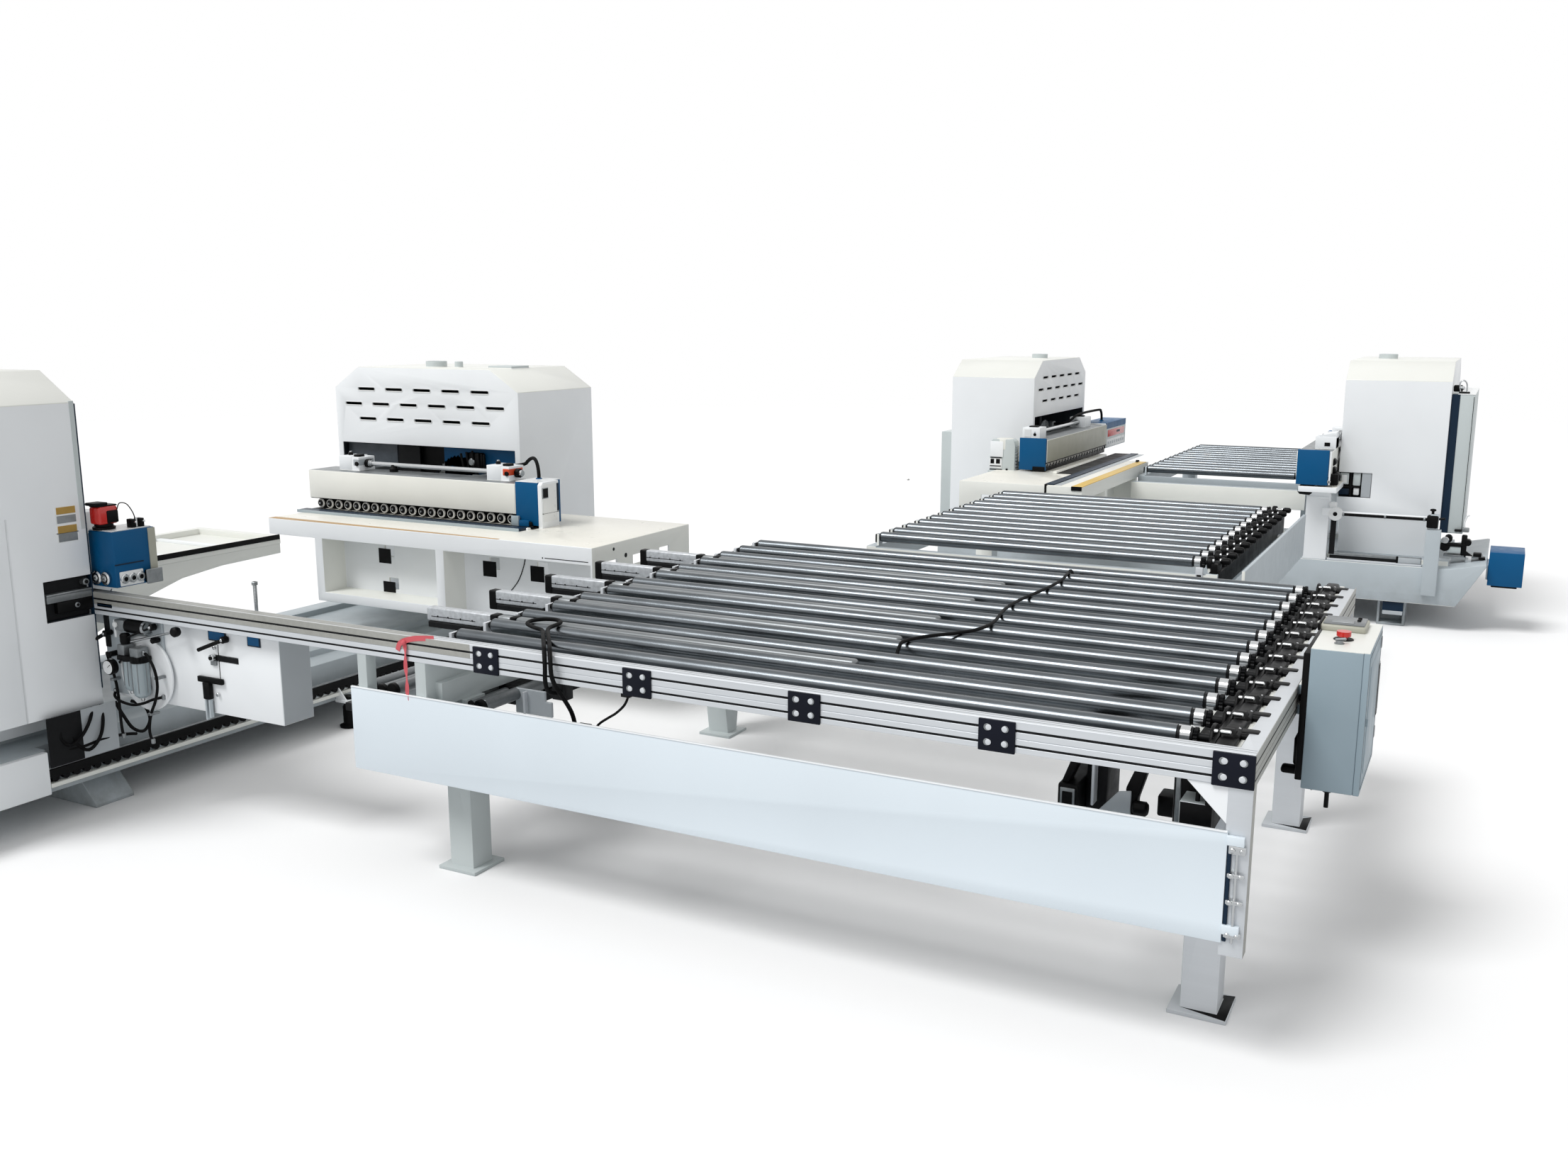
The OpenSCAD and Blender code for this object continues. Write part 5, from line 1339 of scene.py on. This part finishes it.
        arms.add("""rod steel 1500:1740 10:-8 690:752 9 1; turned black 1744 -10 752 y 20 0:16 8:19 20:19 26:14;
            turned black 1452 -20 742 x 24 0:24 4:27 96:27 100:24;
            turned steel 1552 -20 742 x 24 0:28 14:28 14:22 4:20; dull 1396:1450 -34:0 722:764 4 2;
            rod label 1404 -2:6 744 22 1""")
        arms.done("levers_a", "line", "black_rubber")
        screws("line", place_a, [(1310, -35, 480), (1310, -35, 600), (1608, -35, 480), (1608, -35, 640),
                                        (1640, -45, 640), (1700, -45, 600)], (0, 1, 0), 13)

    def rail(self):
        """Bolts on the front rail and the threaded rod that stands behind it."""
        chrome = values("1150:0.4:805 1168:0.4:801 1921:0.4:815 1936:0.4:813 2084:0.4:823 2118:0.4:820")
        screws("line", place_a, chrome, (0, 1, 0), 19)
        screws("line", place_a, values("1700:0.4:806 1740:0.4:812 2221:0.4:846"), (0, 1, 0), 18, "black")
        shape = Shape(place_a)
        shape.add("rod steel 2040 -120 775:948 13 1")
        for step in range(20):
            shape.rod("dull", (2040, -120, 870 + step * 3.4), (2040, -120, 871.6 + step * 3.4), 14.6, 0.4, 16)
        shape.add("turned dull 2040 -120 936 z 6 0:12 10:12 12:10; navy 1310:1396 -0.6:1.6 806:822 0.6")
        shape.done("threaded_rod_a", "line", "bright_steel")

        pipes = Shape(place_a)
        for route in (
            "1400:30:610 1392:34:636 1372:24:628 1352:-6:560 1350:-18:500 1362:-14:440 1376:-4:380 1392:6:330 "
            "1396:4:302",
            "1560:4:650 1590:10:640 1622:12:590 1626:10:530 1600:4:470 1560:-2:410 1540:-4:350 1546:-2:318 1560:0:302",
            "1340:-20:470 1352:-6:452 1400:4:440 1470:6:436 1530:2:450 1580:-4:470 1612:-24:478",
        ):
            points = values(route)
            pipes.sweep("rubber", curve_points(points, 5), 11, 12)
            for x, y, z in (points[0], points[-1]):
                pipes.add("rod dull 0 0 -9:9 16 1.5 16", (x, y, z))
        for x, y, z in ((1350, -20, 520), (1622, -8, 560), (1560, -14, 410)):
            pipes.add("dull -9:9 -22:22 -5:5 2", (x, y, z))
        pipes.add("""pipe rubber 5 13 10 1296:20:418 1322:34:360 1330:60:300 1322:104:262 1314:150:300 1308:168:360
            1302:150:404;
            pipe rubber 5 13 10 1300:60:416 1326:90:380 1330:130:330 1322:176:300 1314:210:340 1304:190:408; pipe
            rubber 5 13 10 1300:-40:416 1320:-60:350 1326:-90:296 1322:-140:272 1316:-176:310 1308:-160:370
            1302:-110:400;
            pipe rubber 5 13 10 1298:220:300 1310:190:286 1314:120:280 1312:40:286 1306:-60:276 1300:-120:262;
            dark 1315.4:1317.2 120:262 232:424 0.8; shaded 1315.4:1316.6 -30:120 232:424 0.5""")
        pipes.done("air_pipes_a", "line", "black_rubber")

    def rack(self):
        """Toothed rack along the base's edge, with a foot and its bracket."""
        tree = rack_tree()
        made = baked("rack_teeth", tree, offset=place_line(-1806, -3990, 190), Count=87, Pitch=0.044,
                     Tooth_radius=0.015, Width=0.018, Finish=MATERIALS["black"])
        settle(made, "line", "black_rubber")
        shape = Shape()
        shape.add("""black -1816:-1794 -4016:-150 192:226 2; dull -1816:-1799 -4016:-150 226:232 1;
            cream -1818:-1788 -4016:-150 156:172 2""")
        screws("line", place_line, [(-1794, y, 210) for y in range(-3940, -200, 300)], (1, 0, 0), 13, "black")
        shape.add("""turned black -1770 -2530 0 z 28 0:46 10:48 18:30 100:30 108:24 150:24;
            hood -1818:-1740 -2570:-2490 122:136 2; prism hood y -2566:-2560 1 1 -1816:136 -1748:136 -1816:216;
            hood -1817:-1788 -4512:-4018 132:298 4 2""")
        shape.done("rack_bar", "line", "black_rubber")


# ---------------------------------------------------------------- second saw
class SAWLINE_OT_saw_b(bpy.types.Operator):
    """End cover, strips, gearbox parts and dark openings of the second saw"""

    bl_idname = "sawline.saw_b"
    bl_label = "Second saw fittings"

    def execute(self, context):
        self.beam_end()
        self.gear_parts()
        self.table_parts()
        self.mouth()
        return {"FINISHED"}

    def beam_end(self):
        """The stepped cover on the beam's near end, its slot, stripe and small parts, and a painted shadow along the
        beam's lower front edge.
        """
        shape = Shape(place_b)
        shape.add("""prism hood x 1656:1681 3 2 -334:862 -196:862 -196:1097 -322:1097 -334:1084;
            label 1680:1684 -326:-216 900:1086 1.5 2; steel 1683:1687 -334:-286 1016:1072 1.5;
            black 1685:1688 -330:-291 1021:1067 1; navy 1680:1685 -213:-199 946:1084 1;
            dark 1681:1684 -332:-200 940:943 0.6""")
        screws("beam_b", place_b, values("1681:-318:878 1681:-210:878 1684:-318:1078 1684:-210:1090"), (1, 0, 0), 9)
        # painted shadow: the thin dark strip along the beam's lower front edge at z 930
        shape.add("""lamp 1500:1546 -353:-338 874:926 3 2; blue 1545:1606 -349:-336 872:906 2 2;
            black 1606:1622 -347:-337 880:900 2; black 1650:1700 -318:-276 846:864 3 2;
            rod steel 1690 -258 842:866 15 1.5; rod black 1690 -258 838:846 26 1.5;
            dark 120:1516 -340.8:-330 930:933.5 0.8; label 1520:1655 -333:-153 1094:1098 1.2""")
        shape.done("beam_end_fittings_b", "beam_b", "blue_paint")

    def gear_parts(self):
        """Cover plates, couplings and dials on the two lift gearboxes of the beam."""
        shape = Shape(place_b)
        # painted shade: the first gearbox's grey block stands for its shaded side
        for x, tone in ((264, "shaded"), (1282, "orange")):
            shape.add("hood -2:90 -262:-138 1083:1159 4 2", (x, 0, 0))
            shape.block(tone, (x + 100, x + 141), (-262, -146), (1108, 1146), 6.0, 3)
            shape.add("""hood 92:138 -258:-140 1084:1100 3 2; dark 60:66 -258:-142 1084:1154 1;
                rod black 128 -268:-256 1120 24 2; rod black 140:168 -200 1119 46 3; rod steel 166:180 -200 1119 34 2;
                rod dark -22:0 -200 1119 42 3; rod black 26 -200 1156:1174 26 3; rod steel 26 -200 1172:1180 14 1.5;
                black 84:124 -240:-196 1150:1168 4 2""", (x, 0, 0))
            screws("beam_b", place_b, [(x + u, -262, z) for u in (12, 48) for z in (1096, 1146)], (0, -1, 0), 8)
        shape.add("turned black 600 -204 1084 z 20 0:22 14:24 22:18 36:12 38:0")
        shape.done("gearbox_fittings_b", "beam_b", "hood_paint")

    def table_parts(self):
        """Guide strip, wood inlay, bracket, a painted shadow under the beam and the dark openings of the work table."""
        shape = Shape(place_b)
        # painted shadow: the dark sheet at y -344 to -190 on the table top stands for the beam's shadow
        shape.add("""navy 150:1640 -470:-404 869.5:884 2 2; lamp 150:1640 -474:-468 869.5:885 1.2;
            steel 154:1636 -400:-392 869.5:879 1.5;
            prism wood z 868.5:871.2 0.8 1 189:-701.5 1700:-701.5 1700:-686 189:-655;
            black 150:1640 -392:-344 869.5:877 1.5; dark 120:1650 -344:-190 869.5:871.5 0.5""")
        for x, z in ((840, 699), (860, 529), (1520, 689), (1810, 689)):
            shape.add("black -41:41 -554.6:-552.6 -38:38 0.5", (x, 0, z))
        shape.add("""dark 1972:2218 -704.2:-701 801.5:805 0.5; rod black 1960 -704.2:-701 803 7 0.4;
            rod dark 2239.2:2241 -532 841 16 0.3; rod dark 2239.2:2241 -434 798 22 0.3""")
        screws("head_b", place_b, [(2240, y, 852) for y in (-640, -300, -40)], (1, 0, 0), 12)
        shape.add("""pipe dark 8 5 8 1746:-554.5:788 1730:-554.5:720 1690:-554.5:640 1624:-554.5:570;
            label 1292:1306 -90:150 872:946 2 2; black 1306:1312 -62:-30 894:922 1.5;
            black 1306:1312 44:76 890:918 1.5; label 1292:1380 -90:150 869:877 1.5; rod black 1420 -150 869:888 40 3;
            rod steel 1420 -150 886:894 24 2""")
        for x in (520, 1348):
            shape.add("dull -30:44 -702:-640 826:836 1.5", (x, 0, 0))
        screws("head_b", place_b, [(x, -703, z) for x in (536, 1336) for z in (480, 820)], (0, -1, 0), 12)
        shape.done("table_fittings_b", "head_b", "hood_paint")

    def mouth(self):
        """What shows in the hood's opening: side panels darkened as painted shade, blade housing, hoses and the fence
        plates.
        """
        shape = Shape(place_b)
        # painted shade: the side panels at x 36 to 560 are dark sheets standing for the shade in the opening
        shape.add("""inside 36:400 40:46 774:1204 1; dark 400:560 44:50 774:1204 1; blue 720:1252 60:68 872:1203 1;
            black 560:720 70:76 874:1204 1; shaded 640:700 70:112 876:1060 3 2; lamp 916:1004 52:110 990:1060 4 2;
            black 900:1010 30:58 1100:1180 9 2; black 860:1060 36:58 1070:1104 6 2; rod dull 940 20:44 1130 40 4""")
        for k in range(5):
            shape.rod("black", (880 + k * 36, 30, 1100), (868 + k * 40, 24, 1192 - 9 * abs(k - 2)), 13, 2.0, 12)
        shape.add("""rod steel 700:760 96 1150 30 2; rod dull 330 90 876:1190 26 2; rod black 420 100 876:1180 36 2;
            hood 1100:1180 40:60 980:1040 3 2;
            pipe black 6 12 10 420:90:1180 470:70:1120 560:76:1080 660:90:1110 760:90:1150""")
        shape.done("mouth_fittings_b", "head_b", "hood_paint")


# ---------------------------------------------------------------- third and fourth saws
def gear_cover(shape, x, y, high, hole=True):
    """White cover of a lift gearbox with its dark round opening, a plug and screws."""
    shape.block("hood", (x - 2, x + 142), (y - 2, y + 122), (1083, high), 5.0, 2)
    if hole:
        shape.add("""rod black 141:145 34 1112 20 1; rod shaded 141:144 34 1126 12 0.8;
            label 141:145 60:108 1094:1148 2""", (x, y, 0))
    shape.add("black 50:100 30:90 -1:9 3 2", (x, y, high))


class SAWLINE_OT_saw_c(bpy.types.Operator):
    """Feed motor, display, strips and covers of the third saw"""

    bl_idname = "sawline.saw_c"
    bl_label = "Third saw fittings"

    def execute(self, context):
        self.motor()
        self.beam()
        self.table()
        return {"FINISHED"}

    def motor(self):
        """Rounded light-grey housing of the feed motor with windows, fins, cover lines and cable loop."""
        shape = Shape(place_c)
        shape.add("""prism box x 1560:1656 5 2 6:1040 14:1066 32:1080 160:1080 178:1066 184:1040 184:736 6:736;
            hood 1655:1662 88:180 958:1064 5 2; box 1655:1672 88:192 742:868 7 2;
            label 1655:1660 96:184 880:950 3 2""")
        for low, high in ((108, 136), (150, 176)):
            shape.block("black", (1659, 1662), (low, high), (912, 944), 2.0)
        shape.add("""black 1658:1661 100:180 892:899 1; dark 1656:1660 92:182 868:874 0.8;
            dark 1656:1664 96:178 951:955 0.8""")
        for z in range(760, 1030, 22):
            shape.add("shaded 1566:1640 -1:8 0:12 2", (0, 0, z))
        shape.add("""shaded 1520:1560 14:176 760:1040 8 2; dull 1540:1590 -12:8 820:872 5 2;
            pipe black 7 13 10 1660:60:880 1676:54:820 1680:80:776 1676:130:748 1668:176:742""")
        for y, z, d in ((172, 716, 40), (148, 692, 34), (60, 724, 36), (92, 704, 30), (24, 742, 34)):
            shape.rod("black", (1600, y, z), (1664, y, z), d, 6.0, 18)
        shape.add("""dull 1450:1560 -30:40 760:846 7 2; black 1400:1470 -60:20 700:850 8 2;
            rod steel 1500 -46:-24 800 46 4; rod steel 1536 -44:-20 742 34 4""")
        shape.done("feed_motor_fittings_c", "line", "hood_paint")

    def beam(self):
        """Gearbox covers, the display with its coloured fields, and the strip below the beam."""
        shape = Shape(place_c)
        gear_cover(shape, 1430, -137, 1158)
        gear_cover(shape, 300, -137, 1158, False)
        shape.add("""blue -489:113 -210.6:-205 1050:1096 2; box -488:112 -210.4:-205 902:1048 2;
            red -440:60 -212.4:-209 984:1036 3 2; navy -300:-200 -213:-211 1004:1022 2;
            label -460:90 -212:-209 908:966 3 2""")
        for x in range(-430, 80, 64):
            shape.add("shaded 0:34 -213:-211 926:948 2", (x, 0, 0))
        shape.add("black 114:1655 -216.6:-205 925:931.4 1; wheel 130:1630 -204:-196 906:926 2")
        for k in range(74):
            x = 136 + k * 20.2
            shape.add("rod black 0 -205:-203.4 914 8 0 8", (x, 0, 0))
        shape.add("black 120:1660 -206:-120 872.5:905 3 2")
        shape.done("beam_fittings_c", "beam_c", "hood_paint")

    def table(self):
        """Yellow edge strip, dark guide strip, pads and clip on the table."""
        shape = Shape(place_c)
        shape.add("""yellow 700:2372 -664.4:-596 869.6:874 1.5 2; black 2372:2380 -662:-596 848:874 2;
            navy 160:2330 -476:-420 869.6:878 2 2; black 160:1700 -420:-300 869.6:873 1;
            shaded 160:2330 -520:-478 869.6:872 1; black 2350:2376 -440:-426 820:880 3 2;
            rod black 700 -600 868:884 26 3; rod black 760 -610 868:882 20 3""")
        screws("line", place_c, [(x, -665.4, 852) for x in (1000, 1500, 2000)], (0, -1, 0), 14)
        shape.done("table_fittings_c", "line", "cream_paint")


class SAWLINE_OT_saw_d(bpy.types.Operator):
    """Notch fittings, bearing, clamp, eye bracket and base end parts of the fourth saw"""

    bl_idname = "sawline.saw_d"
    bl_label = "Fourth saw fittings"

    def execute(self, context):
        self.notch()
        self.post()
        self.base_end()
        return {"FINISHED"}

    def notch(self):
        """Parts in the hood's notch, on the beam's end and on the hood's back."""
        shape = Shape(place_d)
        shape.add("""black 1150:1250 2:190 776:948 3; shaded 1240:1284 138:194 776:948 2;
            box 1248:1276 10:62 852:926 5 2; label 1272:1280 18:50 860:912 3 2; box 1248:1278 86:130 846:930 5 2;
            navy 1248:1272 8:76 784:826 4 2; label 1250:1276 92:126 786:832 5 2""")
        for z in (836, 934):
            shape.add("black 1262:1282 4:136 -4:5 2", (0, 0, z))
        shape.add("black 1262:1283 68:82 778:944 2")
        shape.done("notch_fittings_d", "head_d", "hood_paint")
        shape = Shape(place_d)
        gear_cover(shape, 1282, -137, 1162, False)
        shape.add("prism hood x 1284:1420 3 2 -139:1162 -16:1190 -12:1162; black 1421:1426 -84:-50 1100:1124 3 2")
        for y, z, d in ((-20, 1010, 46), (-14, 960, 40), (6, 920, 54), (-10, 872, 44)):
            shape.rod("black", (1440, y, z), (1520, y, z), d, 7.0, 18)
        for y, z in ((-150, 968), (-128, 900), (-146, 846)):
            shape.add("rod black 1600 -52:30 0:-6 64 12 20", (0, y, z))
        shape.add("""black 1560:1600 -40:30 876:946 8 2; hood 1657:1664 -20:-10 884:1090 1.5;
            rod steel 1650:1672 -16 905 20 3""")
        shape.done("beam_fittings_d", "beam_d", "blue_paint")
        box = Shape(place_d)
        box.add("""black 1140:1220 640:700 1434:1446 3 2; black 1160:1200 608:660 1446:1486 8 2;
            pipe steel 7 9 12 1200:648:1444 1204:642:1496 1202:660:1516 1200:680:1496 1200:684:1446;
            rod steel 1196:1206 640:668 1470 22 3; navy 1236:1273 606:652 583:1433 1;
            label 420:1272 640:736 1432:1437 1.5; dark 1200:1290 690:748 596:610 3 2;
            dull 1250:1292 730:772 596:622 5 2; pipe label 6 10 10 1270:746:612 1272:742:650 1270:752:690 1270:766:700;
            dark 1270.2:1271.8 727:730 600:1420 0.3""")
        box.done("eye_bracket_d", "head_d", "hood_paint")

    def post(self):
        """White end bearing, black rod and clamp, and the feed rail between the posts."""
        shape = Shape(place_d)
        shape.add("""turned label 1452 20 690 x 26 0:20 6:40 50:44 62:40 66:26 66:0; rod black 1516:1521 20 690 26 2;
            label 1462:1500 -22:24 716:762 10 3; rod black 1500 44:600 691 23 2""")
        for y in (60, 300, 520):
            shape.add("rod dull 1500 0:12 691 28 1.5", (0, y, 0))
        shape.add("""black 1470:1530 540:604 640:716 9 2; rod black 1500 570 714:742 16 2;
            turned black 1500 570 740 z 18 0:9 4:17 12:17 16:10; rod black 1500 600:640 694:700 14 2;
            dark 1460:1474 -6:26 430:654 2; hood 1474:1480 -158:-22 775:790 3 2; dull 1440:1470 0:528 424:442 4 2;
            dark 1436:1466 0:528 404:424 3 2; extrusion 1440:1474 -14:532 390:404 3 2;
            black 1466:1476 386:398 404:446 2; shaded 1460:1475 398:526 406:438 3 2;
            prism hood x 1430:1436 1 1 450:350 532:350 532:312""")
        shape.done("post_fittings_d", "line", "hood_paint")

    def base_end(self):
        """Chain wheel, valves, straps and pads at the base's right end, and the dark foot frame."""
        shape = Shape(place_d)
        for start, y, z, d in ((1279, 644, 500, 60), (1230, 771, 531, 40), (1230, 661, 548, 46)):
            shape.rod("black", (start, y, z), (1290, y, z), d, 4.0, 20)
        shape.add("""rod steel 1288:1296 644 540 44 4; box 1200:1284 656:742 462:502 5 2;
            black 1230:1292 640:756 506:520 3 2; black 1240:1290 734:766 450:576 8 2;
            prism black x 1270:1290 3 1 756:486 804:452 756:440; black 1230:1292 806:852 448:470 5 2;
            black 1230:1292 838:874 432:446 4 2; prism black x 1288:1293 1 1 756:372 772:352 758:336;
            prism black x 1288:1293 1 1 796:408 826:404 800:388; steel 1286:1294 764:800 392:452 5 2;
            dull 1180:1280 640:860 438:450 3 2""")
        shape.done("base_end_fittings_d", "line", "black_rubber")
        shape = Shape()
        shape.add("""navy 2352:2472 2060:2066 74:156 1; shaded 2354:2470 2056:2062 76:100 2;
            black 2940:3080 2130:2380 286:298.5 4 2""")
        shape.done("base_foot_fittings", "line", "base_paint")


# ---------------------------------------------------------------- control box and rear tables
class SAWLINE_OT_control(bpy.types.Operator):
    """Top plate, hand-held control, toggle, door furniture and cable end of the control box"""

    bl_idname = "sawline.control"
    bl_label = "Control box fittings"

    def execute(self, context):
        shape = Shape()
        shape.add("""cream 2506:2659.5 -3078:-2668 984.6:986.2 1; black 2486:2505 -3070:-2676 592:968 3 2;
            drab 2499:2626 -2830:-2700 985:1005 7 3; tread 2506:2620 -2822:-2708 1004:1009 3 2;
            dull 2528:2590 -2806:-2766 1008:1011 2; black 2493:2500 -2838:-2700 986:1008 3 2""")
        for y in (-2760, -2730):
            shape.add("rod black 2600 0 1008:1014 12 2", (0, y, 0))
        shape.add("""turned dull 2570 -2990 985 z 24 0:13 4:14 6:10 11:9;
            rod dull 2558:2588 -2992:-2986 997:1001 9 3 16; turned black 2575 -2929 984.8 z 28 0:27 3:28 5:25;
            turned black 2570 -3000 500 z 20 0:6.5 44:6.5 48:13 70:14 73:10;
            turned black 2528 -3010 548 z 16 0:0 6:9 24:9; black 2440:2506 -3020:-2980 590:612 8 2;
            black 2470:2490 -3000:-2940 612:700 8 2""")
        shape.done("control_box_fittings", "line", SLOTS["control_box"])
        door = Shape()
        gasket = 14  # from the door's edges to the dark line round its panel
        y, z = (-3079 + gasket, -2667 - gasket), (572 + gasket, 985 - gasket)
        for span_y, span_z in ((y, (z[0], z[0] + 2.2)), (y, (z[1] - 2.2, z[1])),
                               ((y[0], y[0] + 2.2), z), ((y[1] - 2.2, y[1]), z)):
            door.block("dark", (2659.4, 2660.8), span_y, span_z, 0.4)
        door.add("""dull 2659.6:2664 -2744:-2704 716:884 3 2; black 2663.6:2665.2 -2738:-2710 722:878 0.7;
            label 2665:2667 -2733:-2720 740:866 0.8""")
        for low in (640, 920):
            door.add("dull 2659.5:2663 -2700:-2676 0:34 2", (0, 0, low))
        door.done("door_fittings", BODY_OF["control_door"], SLOTS["control_door"])
        # the door takes the sides' darker blue-grey: paint and painted shade
        softened("control_door", plain("slate"), 1.6)
        return {"FINISHED"}


class SAWLINE_OT_rear_tables(bpy.types.Operator):
    """Black drive ends, chrome bits and side lines of roller tables 2 and 3, and feet of the line"""

    bl_idname = "sawline.rear_tables"
    bl_label = "Rear tables' fittings"

    def execute(self, context):
        shape = Shape()
        for left, y, length in REAR_ROLLERS.values():
            end = left + length + 77
            for i in range(REAR_COUNT):
                at = y + i * REAR_PITCH
                shape.add("""rod black 0:26 0 0 62 5 24; black 20:52 -46:60 -60:4 9 2; rod black 50:92 40 4 30 7 18;
                    rod steel 44:51 40 6 20 2; rod steel 26:34 -34 16 16 2""", (end, at, ROLLER_Z))
                shape.add("dark -32:-24 -20:20 -28:14 4 2", (left, at, ROLLER_Z))
            shape.block("black", (end + 14, end + 60), (y - 40, at + 50), (ROLLER_Z - 120, ROLLER_Z - 34), 4.0, 2)
        shape.add("extrusion 1798:1830 -1082:-1068 700:832 4 2; black 1804:1824 -1083.5:-1080 716:800 3")
        shape.done("rear_drive_ends", "line", "black_rubber")
        feet = Shape(place_rail)
        feet.add("dark -125:-119 149:152 -740:-560 0.6")
        screws("line", place_rail, [(x, y, -858) for y in (120, 260) for x in (-210, -110)], (0, 0, 1), 14)
        feet.add("""dull -176:-168 148:152 -700:-640 1; rod steel -150 151:144 -650 13 2;
            rod steel -150 151:144 -720 13 2""")
        feet.done("leg_fittings", "line", "base_paint")
        frame = Shape()
        frame.add("cream -2800:-2288 -3530:-2450 826:834 1; black -2264.5:-2258 -3548:-2432 844:868 2 2")
        for y in (-3300, -3000, -2700):
            frame.add("hood -2800:-2288 -14:14 833:846 2", (0, y, 0))
        frame.done("infeed_fittings", "line", "cream_paint")
        return {"FINISHED"}


# ---------------------------------------------------------------- panel and running order
OPERATORS = [SAWLINE_OT_stage, SAWLINE_OT_cords, SAWLINE_OT_paint, SAWLINE_OT_skins, SAWLINE_OT_rollers,
             SAWLINE_OT_table_one, SAWLINE_OT_wheels, SAWLINE_OT_vents, SAWLINE_OT_saw_a, SAWLINE_OT_saw_b,
             SAWLINE_OT_saw_c, SAWLINE_OT_saw_d, SAWLINE_OT_control, SAWLINE_OT_rear_tables, SAWLINE_OT_screws]


class SAWLINE_PT_tools(bpy.types.Panel):
    """Lists the steps that dress the line"""

    bl_label = "Saw line"
    bl_idname = "SAWLINE_PT_tools"
    bl_space_type = "VIEW_3D"
    bl_region_type = "UI"
    bl_category = "Saw line"

    def draw(self, context):
        for step in OPERATORS:
            self.layout.operator(step.bl_idname)


CLASSES = [SawTones, SawSizes, *OPERATORS, SAWLINE_PT_tools]


def register():
    for item in CLASSES:
        bpy.utils.register_class(item)
    bpy.types.Scene.saw_tones = bpy.props.PointerProperty(type=SawTones)
    bpy.types.Scene.saw_sizes = bpy.props.PointerProperty(type=SawSizes)


def unregister():
    del bpy.types.Scene.saw_sizes
    del bpy.types.Scene.saw_tones
    for item in reversed(CLASSES):
        bpy.utils.unregister_class(item)


def main():
    register()
    MATERIALS.update(paint_materials(bpy.context.scene.saw_tones))
    for step in OPERATORS:
        group, name = step.bl_idname.split(".")
        getattr(getattr(bpy.ops, group), name)()
    sizes = {"cad": CAD_BOX, "visual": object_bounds()}
    {key: [list(corner) for corner in box] for key, box in sizes.items()}


MATERIALS = {}

if __name__ == "__main__":
    main()
